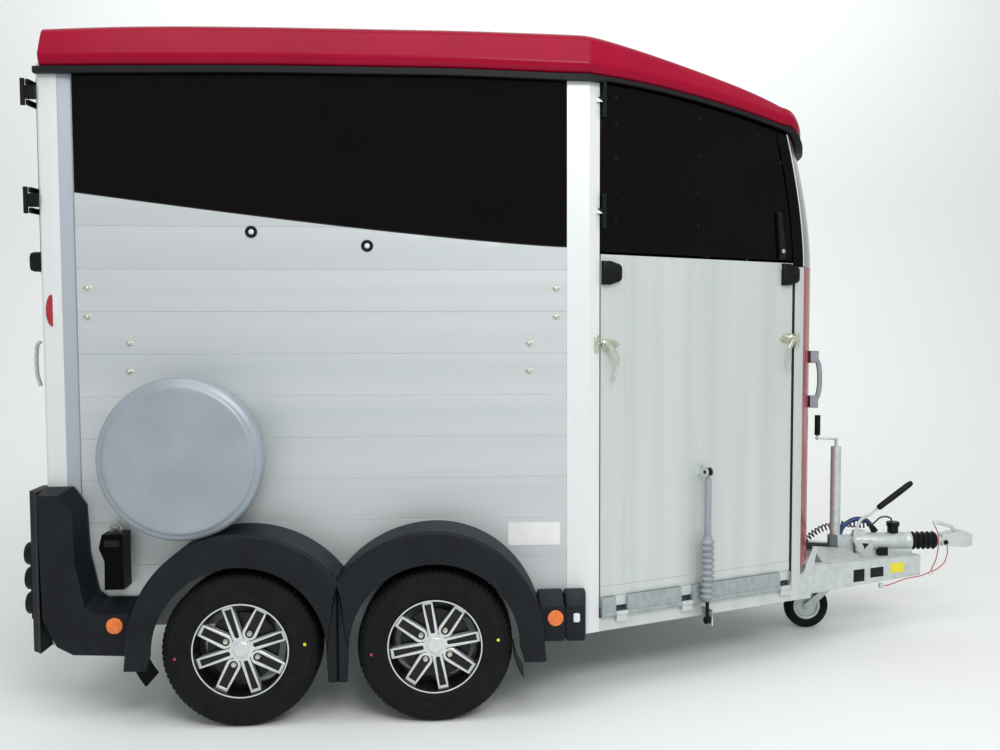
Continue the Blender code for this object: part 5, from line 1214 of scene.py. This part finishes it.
low = strut["bellowsTop"] - strut["ribs"] * strut["pitch"]
profile += [(0.0160, low), (0.0160, low - 0.006), (0, low - 0.006)]
makePiece("strutBellows", turnedShape(profile, strutAt, up, steps=44), "greyPlastic", rides="strut_rod",
          smooth=50, replaces=["strut_rod"])
stem = turnedShape([(0, 0.262), (0.0078, 0.262), (0.0078, low - 0.012), (0.011, low - 0.010),
                    (0.011, low - 0.002), (0, low - 0.002)],
                   strutAt, up, steps=28)
lowEye = rodShape(onTaper(ramp["strut"] - 0.0098, ramp["strutOut"], strut["eye"]),
                  onTaper(ramp["strut"] + 0.0118, ramp["strutOut"], strut["eye"]), 0.0148, 32)
makePiece("strutStem", merged(stem, lowEye), "mouldedNylon", rides="strut_rod")
print("strut")


# Black door over the ramp: one smooth slab, its top following the roof, with hinges and handle
noseJoint = 1.703
noseTop = 2.2860


def leanAt(z):
    # How far the posts and the window lean back at a height.
    return 0.110 * (np.maximum(0.0, np.asarray(z, float) - noseJoint) / (noseTop - noseJoint)) ** 1.7


doorZ = np.linspace(1.748 - 0.018, 2.2415, 20)
frontEdge = np.stack([0.995 - leanAt(doorZ), doorZ], -1)
topS = np.linspace(frontEdge[-1, 0], 0.055, 24)
topZ = eaveAt(onTaper(topS, 0, 0)[:, 0]) - 0.034
doorOutline = np.concatenate([[[0.055, 1.748]], frontEdge[:-1], np.stack([topS, topZ], -1)])
makePiece("topDoor", slabShape(doorOutline, -0.030, 0.0, onTaper), "blackGelcoat", rides="front_top_door",
          bevel=0.002, replaces=["front_top_door"])
doorHinges, doorScrews = [], []
axisS = 0.061
for z in (2.320, 1.900):
    for low in (z + 0.0103, z - 0.0660):
        doorHinges.append(rodShape(onTaper(axisS, 0.018, low), onTaper(axisS, 0.018, low + 0.0557), 0.0085,
                                   24))
        hingeOutline = rounded(axisS - 0.003, low + 0.001, axisS + 0.009, low + 0.0547, 0.003)
        doorHinges.append(slabShape(hingeOutline, -0.001, 0.014, onTaper))
makePiece("topDoorHinges", merged(*doorHinges), "mouldedNylon", rides="front_top_door", smooth=30,
          bevel=0.001)
screwPlaces = [(0.122, z) for z in (2.334, 2.232, 2.106, 1.975, 1.873)]
screwPlaces += [(0.509, z) for z in (2.289, 2.140, 1.990, 1.860)]
screwPlaces += [(0.800, 2.244), (0.925, 2.137)]
normal = onTaper(0, 1, 0) - onTaper(0, 0, 0)
for s, z in screwPlaces:
    doorScrews.append(turnedShape([(0, -0.001), (0.0065, -0.001), (0.0065, 0.001), (0.0052, 0.0026),
                                   (0, 0.0034)],
                                  onTaper(s, 0.0, z), normal, steps=20))
makePiece("topDoorScrews", merged(*doorScrews), "mouldedNylon", rides="front_top_door")
handleOutline = np.array([(0.917, 1.748), (0.914, 1.738), (0.922, 1.733), (0.944, 1.733), (0.951, 1.740),
                          (0.951, 1.752), (0.925, 1.925), (0.921, 1.931), (0.908, 1.931), (0.902, 1.925)])
handle = domedShape(handleOutline, [(-0.001, 1), (0.011, 1), (0.0135, 0.97), (0.014, 0.9)], onTaper)
makePiece("topDoorHandle", handle, "mouldedNylon", rides="front_top_door", smooth=30)
lock = turnedShape([(0, 0.012), (0.0085, 0.012), (0.0085, 0.0165), (0.0072, 0.018), (0, 0.018)],
                   onTaper(0.934, 0.0, 1.768), normal, steps=28)
makePiece("topDoorLock", lock, "zincPlated", rides="front_top_door")


def paintFaces(nodeName, finishName, chosen):
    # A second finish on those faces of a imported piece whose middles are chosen.
    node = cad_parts[nodeName]
    node.data.materials.append(finishes[finishName])
    turnBack = node.matrix_world
    for polygon in node.data.polygons:
        middle = np.array(turnBack @ polygon.center) - toFrame
        if chosen(middle):
            polygon.material_index = 1


def taperPlace(point):
    # A point's place along and out from the tapered right side.
    c, d = math.cos(taper["turn"]), math.sin(taper["turn"])
    x, y = point[0] - taper["cornerX"], point[1] - taper["cornerY"]
    return x * c + y * d, x * d - y * c


paintFaces("front_post_right", "blackGelcoat", lambda p: p[2] > noseJoint)
paintFaces("wheel_chock", "zincPlated", lambda p: p[2] > 0.7005)
# the B-post's proud hinge arm is painted black: partly the hinge's own black, partly painted shade of the
# notch there
paintFaces("b_post_right", "mouldedNylon", lambda p: taperPlace(p)[0] > 0.040 and taperPlace(p)[1] > 0.0032)
paintFaces("jockey_tube", "mouldedNylon", lambda p: p[0] < 2.142 and p[2] > 0.930)
sealZ = np.linspace(0.345, 1.700, 12)
postSeal = sweptShape(onTaper(1.0035 + 0 * sealZ, -0.004, sealZ), boxProfile(0.013, 0.016, 0.002, 2),
                      up=(0, 1, 0))
makePiece("postSeal", postSeal, "sealRubberAndShade")
print("black door")


# Nose: smooth red panel, smooth smoked window, and the rubber strip that runs round under the roof
nose = {"tip": 2.036, "low": 0.400, "thick": 0.027, "top": noseTop, "steps": 48}


def noseGrid(heights, top=None):
    # Plan loops at several heights: outer arc, then the inner arc one thickness behind it.
    rows = []
    for z in heights:
        back = float(leanAt(z))
        cornerPoint = onTaper(taper["length"] - back, 0.0, 0.0)
        innerPoint = onTaper(taper["length"] - back, -0.034, 0.0)
        tip = nose["tip"] - 0.95 * back
        half, innerHalf = abs(cornerPoint[1]) - 0.0012, abs(innerPoint[1]) - 0.0010
        t = np.linspace(-1, 1, nose["steps"] + 1)
        span = tip - cornerPoint[0] - 0.0008
        outer = xyz(tip - span * (half * t / cornerPoint[1]) ** 2, half * t, z)
        inner = xyz(tip - span * (innerHalf * t[::-1] / cornerPoint[1]) ** 2 - nose["thick"],
                    innerHalf * t[::-1], z)
        row = np.concatenate([outer, inner])
        if top is not None and z == heights[-1]:
            row[:, 2] = rimAt(np.concatenate([outer[:, 0], outer[::-1, 0]])) - top
        rows.append(row)
    return np.stack(rows)


makePiece("nosePanel", gridShape(noseGrid([nose["low"], noseJoint - 0.0003]), wrapV=True, cap=True),
          "redGelcoat", bevel=0.004, segments=3, replaces=["nose_panel"])
glassHeights = np.linspace(noseJoint, noseTop - 0.006, 22)
makePiece("noseWindow", gridShape(noseGrid(glassHeights, 0.003), wrapV=True, cap=True), "smokedAcrylic",
          replaces=["nose_window"])

trimStand, trimWidth, trimHeight = 0.004, 0.028, 0.028
tapered = np.linspace(0.0, 1.0, 40)
lastBack = float(leanAt(noseTop - 0.062))
lastX = float(onTaper(taper["length"] - lastBack + 0.006, 0.0, 0.0)[0])
sideX = np.concatenate([np.linspace(body["rear"] + 0.002, taper["cornerX"], 16),
                        taper["cornerX"] + (lastX - taper["cornerX"]) * tapered[1:]])
sideY = np.where(sideX > taper["cornerX"],
                 body["half"] - (sideX - taper["cornerX"]) * math.tan(taper["turn"]) + trimStand
                 / math.cos(taper["turn"]), body["half"] + trimStand)
half = sideY[-1] - 0.02
frontY = np.linspace(-half, half, 33)
tipX = nose["tip"] - 0.95 * lastBack + 0.006
frontX = tipX - (tipX - lastX - 0.012) * (frontY / half) ** 2


def trimRow(x0, y0, x1, y1, x):
    # Four corners of the trim's section at each place: its top follows the rim, its foot the eave.
    top = rimAt(x) - 0.0006
    low = np.where(x > 1.0, np.maximum(eaveAt(x) - 0.0006 - trimHeight, top - 0.024), top - 0.024)
    return np.stack([xyz(x0, y0, low), xyz(x1, y1, low), xyz(x1, y1, top), xyz(x0, y0, top)], 1)


rightRows = trimRow(sideX, -sideY, sideX, -sideY - trimWidth, sideX)
frontRows = trimRow(frontX, frontY, frontX + trimWidth, frontY * 1.03, frontX + trimWidth)
leftRows = trimRow(sideX, sideY, sideX, sideY + trimWidth, sideX)[::-1]
makePiece("roofTrim", gridShape(np.concatenate([rightRows, frontRows, leftRows]), wrapV=True, cap=True),
          "sealRubberAndShade", smooth=40, bevel=0.003, replaces=["roof_trim"])

# grab handles: an arched grip between two square feet
handleHeight = 1.212
for name, y in (("right", -0.30), ("left", 0.30)):
    noseX = nose["tip"] - 0.11863 * (y / float(onTaper(taper["length"], 0, 0)[1])) ** 2
    line = smoothPath([(0.002, -0.102), (0.018, -0.099), (0.036, -0.075), (0.0435, -0.037), (0.045, 0.0),
                       (0.0435, 0.037), (0.036, 0.075), (0.018, 0.099), (0.002, 0.102)],
                      48) + [0.0, handleHeight]
    grip = sweptShape(xyz(noseX + line[:, 0], y, line[:, 1]), boxProfile(0.022, 0.016, 0.005), up=(0, 1, 0))
    feet = []
    for z in (handleHeight - 0.100, handleHeight + 0.100):
        feet.append(slabShape(rounded(y - 0.019, z - 0.0270, y + 0.019, z + 0.0270, 0.004), -0.003, 0.034,
                              lambda a, depth, b, noseX=noseX: xyz(noseX + depth, a, b)))
    makePiece("grabHandle_" + name, merged(grip, *feet), "greyNylon", smooth=40, bevel=0.0015,
              replaces=["grab_handle_" + name])
# bright edging between the black door's frame and the window
edgeZ = np.linspace(noseJoint + 0.004, 2.255, 24)
edging = sweptShape(onTaper(1.0535 - leanAt(edgeZ), 0.0012, edgeZ), boxProfile(0.0065, 0.0045, 0.001, 2))
bothSides("windowEdging", edging, "postAluminium")
print("nose")


# Rear doors: black slabs, thick in the middle and drawn down towards their edges, with strap hinges
doorShape = domedShape(rounded(-0.908, 1.652, -0.003, 2.372, 0.012),
                       [(0.0006, 1), (0.004, 0.985), (0.0246, 0.87)], onRear)
strapShapes = []
for z in (2.315, 1.925):
    for low in (z + 0.0263, z - 0.0483):
        strapShapes.append(rodShape((*rearAxis, low), (*rearAxis, low + 0.022), 0.0085, 24))
        outline = rounded(-0.930, low + 0.001, -0.800, low + 0.021, 0.006)
        strapShapes.append(slabShape(outline, 0.0205, 0.0300, onRear))
for side in sides:
    rides = "rear_door_" + side
    shape, straps = (doorShape, merged(*strapShapes))
    if side == "left":
        shape, straps = mirrored(shape), mirrored(straps)
    makePiece("rearDoor_" + side, shape, "blackGelcoat", rides=rides, smooth=30, replaces=[rides])
    makePiece("rearDoorStraps_" + side, straps, "mouldedNylon", rides=rides, smooth=30)
# rubber door stops on the rear posts
stop = domedShape(rounded(-0.912, 1.664, -0.880, 1.738, 0.010),
                  [(0.0, 1), (0.028, 0.97), (0.038, 0.86), (0.042, 0.6)], onRear)
bothSides("doorStop", stop, "mouldedNylon", smooth=40)

# Rear: upright planks on the ramp, a level rail at its foot, soft lamp domes with red lenses
rearRamp = {"half": 0.842, "low": 0.4015, "high": 1.578, "pitch": 0.1585, "proud": 0.0016}
rearFacts = {"slit": 0.0012, "crown": 0.0005, "groove": 0.0011}
seams = rearRamp["pitch"] * (np.arange(-5, 6) + 0.0)
along, depths = plankRows(-rearRamp["half"], rearRamp["half"], seams, rearFacts)
heights = np.array([rearRamp["low"], rearRamp["high"]])
outer = onRear(along[:, None], 0.002 + rearRamp["proud"] + depths[:, None], heights + 0 * along[:, None])
inner = onRear(along[:, None], 0.0023 + 0 * along[:, None], heights[::-1] + 0 * along[:, None])
makePiece("rearRampPlanks", gridShape(np.concatenate([outer, inner], 1), wrapV=True, cap=True),
          "rampAluminium", rides="rear_ramp")
footRail = slabShape(rounded(-0.842, 0.361, 0.842, 0.400, 0.001, 2), 0.0023, 0.0050, onRear)
makePiece("rearFootRail", footRail, "postAluminium", rides="rear_ramp")
lampHeights = (0.432, 0.525, 0.618)
lampDomes = []
for z in lampHeights:
    dome = [(0, 0.0340), (0.028, 0.0335), (0.0375, 0.0310), (0.0420, 0.0255), (0.0432, 0.0), (0, 0.0)]
    lampDomes.append(turnedShape(dome, (-1.1335, -0.920, z), (-1, 0, 0), steps=48))
bothSides("lampDomes", merged(*lampDomes), "mouldedNylon", smooth=60)
lensCaps = []
for z in lampHeights:
    lens = [(0, 0.0358), (0.018, 0.0355), (0.027, 0.0343), (0.0305, 0.0320), (0, 0.0320)]
    lensCaps.append(turnedShape(lens, (-1.1335, -0.920, z), (-1, 0, 0), steps=48))
bothSides("lampLenses", merged(*lensCaps), "redLens", smooth=60)
print("rear")

# Drawbar: two deep channels that rise ahead of the body, a top plate and brackets
bar = {"front": 2.600, "half": 0.060, "heading": (0.9345, 0.3561), "wide": 0.045, "plateTop": 0.3467,
       "jockey": 2.215, "shaft": 0.410}


def onBar(a, out, z):
    # Points of the right channel's outer face: a back from its front end, out from the face.
    c, d = bar["heading"]
    reach = bar["wide"] / 2 + np.asarray(out, float)
    return xyz(bar["front"] - c * a + d * reach, -bar["half"] - d * a - c * reach, z)


barStations = np.array([(0.0, 0.262, 0.357), (0.35, 0.251, 0.3635), (0.66, 0.240, 0.370),
                        (0.70, 0.236, 0.3347), (0.82, 0.215, 0.3347), (1.985, 0.215, 0.3347)])
a, low, high = barStations.T
rows = np.stack([onBar(a, 0.0, low), onBar(a, 0.0, high), onBar(a, -bar["wide"], high),
                 onBar(a, -bar["wide"], low)], 1)
channel = gridShape(rows, wrapV=True, cap=True)
plateX = np.unique(np.concatenate([np.linspace(1.98, bar["front"], 12),
                                   bar["jockey"] + 0.0262 * np.linspace(-1, 1, 21)]))
outerY = bar["half"] + (bar["front"] - plateX) * 0.3811 - 0.010
innerY = np.sqrt(np.maximum(0.0262**2 - (plateX - bar["jockey"]) ** 2, 0.0))
top = bar["plateTop"]
plateRows = np.stack([xyz(plateX, -outerY, top - 0.010), xyz(plateX, -outerY, top),
                      xyz(plateX, -innerY, top), xyz(plateX, -innerY, top - 0.010)], 1)
halfPlate = gridShape(plateRows, wrapV=True, cap=True)
crossPiece = slabShape([(1.20, -0.55), (1.25, -0.53), (1.25, 0.53), (1.20, 0.55)], 0.235, 0.325, onFloor)
eyeBlock = slabShape([(2.375, -0.180), (2.395, -0.180), (2.395, -0.156), (2.375, -0.156)], 0.226, 0.246,
                     onFloor)
makePiece("drawbarFrame", merged(channel, mirrored(channel), halfPlate, mirrored(halfPlate), crossPiece,
                                 eyeBlock),
          "galvanisedSteel", bevel=0.0025, replaces=["drawbar"])
# painted shade: thin black plates on the channel's cut-outs, standing for the shade inside the holes
cutOutShades = [slabShape(rounded(0.338, 0.268, 0.402, 0.325, 0.002), -0.001, 0.0006, onBar),
           slabShape(rounded(0.226, 0.279, 0.303, 0.324, 0.002), -0.001, 0.0006, onBar)]
bothSides("drawbarCutOutShade", merged(*cutOutShades), "sealRubberAndShade")
yellow = slabShape(rounded(0.103, 0.288, 0.184, 0.334, 0.002), 0.0002, 0.0010, onBar)
makePiece("drawbarPlate", yellow, "yellowPlate")


def columnPut(a, depth, b):
    # Points of the drawbar's upright bracket: a forward, b up, depth outwards.
    return xyz(a, -0.3225 - depth, b)


column = slabShape([(1.950, 0.222), (2.000, 0.226), (2.018, 0.400), (2.030, 0.455), (2.010, 0.462),
                    (1.984, 0.400), (1.962, 0.330)], 0.0, 0.006, columnPut)
gussetPoints = np.array([(2.075, -0.270, 0.362), (2.290, -0.190, 0.361), (2.262, -0.048, 0.384),
                         (2.085, -0.055, 0.398)])
gusset = gridShape(np.stack([gussetPoints, gussetPoints + [0, 0, 0.005]]), wrapV=True, cap=True)
bothSides("drawbarGusset", merged(column, gusset), "galvanisedSteel", bevel=0.001)

# Overrun device: a pale round housing with an end flange, boxed in behind and carried on a base
shaftAt = (2.300, 0.0, bar["shaft"])
housing = turnedShape([(0, 0), (0.040, 0), (0.042, 0.003), (0.042, 0.250), (0.0405, 0.254), (0.0405, 0.262),
                       (0.042, 0.266), (0.042, 0.2835), (0.040, 0.287), (0, 0.287)], shaftAt, (1, 0, 0),
                      steps=56)
boxes = [(2.219, 2.296, -0.034, 0.034, 0.3472, 0.438), (2.302, 2.386, -0.052, 0.052, 0.3472, 0.424),
         (2.464, 2.582, -0.040, 0.040, 0.3472, 0.378), (2.305, 2.360, -0.020, 0.020, 0.40, 0.463)]
blocks = [slabShape([(x0, y0), (x1, y0), (x1, y1), (x0, y1)], z0, z1, onFloor)
          for x0, x1, y0, y1, z0, z1 in boxes]
pivot = rodShape((2.316, -0.052, 0.391), (2.316, -0.070, 0.391), 0.020, 32)
makePiece("overrunHousing", merged(housing, *blocks, pivot), "galvanisedSteel", bevel=0.002,
          replaces=["overrun_body"])
# painted shade: a black block in the recess under the housing, and a black triangle in the bracket's opening
recess = slabShape([(2.418, -0.041), (2.463, -0.041), (2.463, 0.0), (2.418, 0.0)], 0.3475, 0.386, onFloor)
opening = slabShape([(2.336, 0.375), (2.366, 0.409), (2.334, 0.412)], 0.0518, 0.0530, lambda a, depth,
                    b: xyz(a, -depth, b))
makePiece("overrunRecessShade", merged(recess, opening), "sealRubberAndShade")

# handbrake lever: a flat bar with a bend and a long black grip
leverLine = smoothPath([(2.312, -0.0640, 0.391), (2.290, -0.0640, 0.440), (2.315, -0.0640, 0.521),
                        (2.364, -0.0640, 0.552), (2.420, -0.0640, 0.596)], 36)
lever = sweptShape(leverLine, boxProfile(0.0150, 0.0055, 0.002, 2), up=(0, 1, 0))
makePiece("handbrakeLever", lever, "galvanisedSteel")
gripLine = smoothPath([(2.400, -0.0640, 0.580), (2.482, -0.0640, 0.641), (2.565, -0.0640, 0.703)], 24)
share = np.linspace(0, 1, 24)
swell = 1.0 + 0.10 * np.sin(np.pi * share) - 0.35 * (smoothStep(share, 0.93, 1.0) + 1
                                                     - smoothStep(share, 0.0, 0.05))
makePiece("handbrakeGrip", sweptShape(gripLine, roundProfile(0.0138, 20, 0.9), up=(0, 1, 0), scale=swell),
          "mouldedNylon", smooth=50)

# blue hose in an arch over the housing, and its black boot
hoseLine = smoothPath([(2.240, 0.014, 0.436), (2.262, 0.014, 0.482), (2.315, 0.014, 0.514),
                       (2.372, 0.014, 0.508), (2.404, 0.014, 0.474)], 40)
makePiece("blueHose", sweptShape(hoseLine, roundProfile(0.0112, 18), up=(0, 1, 0)), "blueHose", smooth=60)
boot = sweptShape([(2.394, 0.014, 0.486), (2.404, 0.014, 0.472), (2.416, 0.014, 0.454)],
                  boxProfile(0.026, 0.030, 0.006), up=(0, 1, 0), scale=[0.75, 1.0, 1.2])
makePiece("hoseBoot", boot, "mouldedNylon", bevel=0.001)

# gaiter: five soft rubber ribs between two collars
along = np.linspace(0.0, 0.1225, 90)
ribbed = 0.0365 + 0.0070 * np.cos(2 * np.pi * (along / 0.1225 * 5 - 0.5))
ribbed = np.where((along < 0.004) | (along > 0.1185), 0.036, ribbed)
gaiterProfile = np.concatenate([[[0.0, 0.0]], np.stack([ribbed, along], -1), [[0.0, 0.1225]]])
makePiece("gaiterRibs", turnedShape(gaiterProfile, (2.5873, 0.0, bar["shaft"]), (1, 0, 0), steps=48),
          "sealRubberAndShade", smooth=60, replaces=["gaiter"])

# coupling head's bolts
bolts = []
for side in (-1, 1):
    bolts.append(turnedShape([(0, 0), (0.0115, 0), (0.0115, 0.006), (0.009, 0.0095), (0, 0.0105)],
                             (2.752, side * 0.0275, bar["shaft"] - 0.006), (0, side, 0), steps=28))
makePiece("couplingBolts", merged(*bolts), "mouldedNylon")

# jockey wheel: fine rings on the outer tube, a dark clamp, a steel rim inside the rubber tyre
ringZ = np.linspace(0.470, 0.866, 199)
ringR = 0.0248 - 0.0006 * np.cos(2 * np.pi * (ringZ - 0.470) / 0.0088)
tubeRings = np.concatenate([[[0.0240, 0.470]], np.stack([ringR, ringZ], -1),
                            [[0.0240, 0.866], [0.0235, 0.668]]])
makePiece("jockeyTubeRings", turnedShape(tubeRings, (bar["jockey"], 0.0, 0.0), (0, 0, 1), steps=36,
                                         ring=True),
          "galvanisedSteel", smooth=60)
clamp = slabShape([(2.178, -0.038), (2.2165, -0.038), (2.2165, 0.0), (2.178, 0.0)], 0.362, 0.448, onFloor)
makePiece("jockeyClamp", clamp, "darkChannel", bevel=0.002)
wheelAt = (2.077, 0.0, 0.105)
halfTyre = [(0.0640, 0.0180), (0.0680, 0.0235), (0.0800, 0.0262), (0.0950, 0.0245), (0.1020, 0.0195),
            (0.1048, 0.0110)]
tyreProfile = halfTyre + [(r, -h) for r, h in halfTyre[::-1]]
makePiece("jockeyTyre", turnedShape(tyreProfile, wheelAt, (0, 1, 0), steps=72, ring=True), "tyreRubber",
          rides="jockey_wheel", smooth=50, replaces=["jockey_wheel"])
halfRim = [(0.0075, 0.0278), (0.0170, 0.0278), (0.0190, 0.0140), (0.0480, 0.0120), (0.0540, 0.0200),
           (0.0600, 0.0215), (0.0645, 0.0195)]
rimProfile = halfRim + [(r, -h) for r, h in halfRim[::-1]]
makePiece("jockeyRim", turnedShape(rimProfile, wheelAt, (0, 1, 0), steps=60, ring=True), "galvanisedSteel",
          rides="jockey_wheel", smooth=40)

# small steel ring that joins the breakaway cable and its lanyard
turn = np.linspace(0, 2 * np.pi, 28, endpoint=False)
ringPath = xyz(2.680 + 0.010 * np.cos(turn), -0.030 + 0 * turn, 0.2560 + 0.010 * np.sin(turn))
makePiece("cableRing", sweptShape(ringPath, roundProfile(0.0018, 10), up=(0, 1, 0), wrap=True),
          "zincPlated", smooth=60)
print("drawbar")


# Cords: the curly lighting cable with its lead and plug, and the red breakaway cable with its lanyard
routes = {
    "curl": [(1.985, 0.055, 0.366), (2.030, 0.053, 0.372), (2.085, 0.049, 0.412), (2.150, 0.047, 0.457),
             (2.215, 0.050, 0.478), (2.280, 0.034, 0.488), (2.325, 0.003, 0.490), (2.345, 0.000, 0.490),
             (2.385, 0.000, 0.490)],
    "lead": [(2.3853, 0.0, 0.490), (2.391, 0.0, 0.490), (2.397, 0.0, 0.490), (2.413, 0.0, 0.503),
             (2.436, 0.0, 0.5225), (2.464, 0.0, 0.5275), (2.485, 0.0, 0.522), (2.492, 0.0, 0.5146),
             (2.492, 0.0, 0.5086), (2.492, 0.0, 0.5026)],
    "breakaway": [(2.3953, -0.172, 0.236), (2.410, -0.172, 0.237), (2.450, -0.158, 0.244),
                  (2.510, -0.132, 0.255), (2.565, -0.112, 0.259), (2.604, -0.096, 0.260),
                  (2.640, -0.062, 0.260), (2.680, -0.030, 0.262), (2.725, -0.010, 0.274),
                  (2.757, -0.004, 0.300), (2.773, 0.0, 0.340), (2.773, 0.0, 0.370), (2.773, 0.0, 0.3835)],
    "lanyard": [(2.700, -0.012, 0.4835), (2.702, -0.030, 0.473), (2.704, -0.054, 0.440),
                (2.702, -0.060, 0.390), (2.696, -0.052, 0.330), (2.687, -0.036, 0.290),
                (2.680, -0.0300, 0.2655)],
}
curl = {"turns": 24, "wire": 0.0070, "outer": 0.0172, "perTurn": 20}


def curlPath():
    # A helix round the cable's route: its middle radius is the coil's outer radius less half the wire;
    # it starts and ends on the route's own line.
    count = curl["turns"] * curl["perTurn"] + 1
    line = smoothPath(routes["curl"], count)
    tangent = np.gradient(line, axis=0)
    tangent /= np.linalg.norm(tangent, axis=1)[:, None]
    side = np.cross(tangent, [0.0, 0.0, 1.0])
    side /= np.linalg.norm(side, axis=1)[:, None]
    lift = np.cross(side, tangent)
    share = np.linspace(0, 1, count)
    swell = np.minimum(smoothStep(share, 0.0, 0.05), 1 - smoothStep(share, 0.95, 1.0))
    radius = (curl["outer"] - curl["wire"] / 2) * swell
    angle = 2 * np.pi * curl["turns"] * share
    return line + radius[:, None] * (np.cos(angle)[:, None] * lift + np.sin(angle)[:, None] * side)


def makeCord(name, path, diameter, finish, node, up=(0, 0, 1)):
    # A round tube along a path, in place of the model's cord piece that it names.
    piece = makePiece(name, sweptShape(path, roundProfile(diameter / 2, 10), up=up), finish, smooth=60,
                      replaces=[node])
    return piece


makeCord("lightingCable", curlPath(), curl["wire"], "cableSheath",
         "electric_cable")
makeCord("plugLead", smoothPath(routes["lead"], 40), 0.008, "cableSheath",
         "cable_lead", up=(0, 1, 0))
makeCord("breakawayCable", smoothPath(routes["breakaway"], 90), 0.005, "redCable",
         "breakaway_cable", up=(0, 1, 0))
makeCord("breakawayLanyard", smoothPath(routes["lanyard"], 60), 0.005, "redCable",
         "breakaway_lanyard", up=(1, 0, 0))
print("cords")
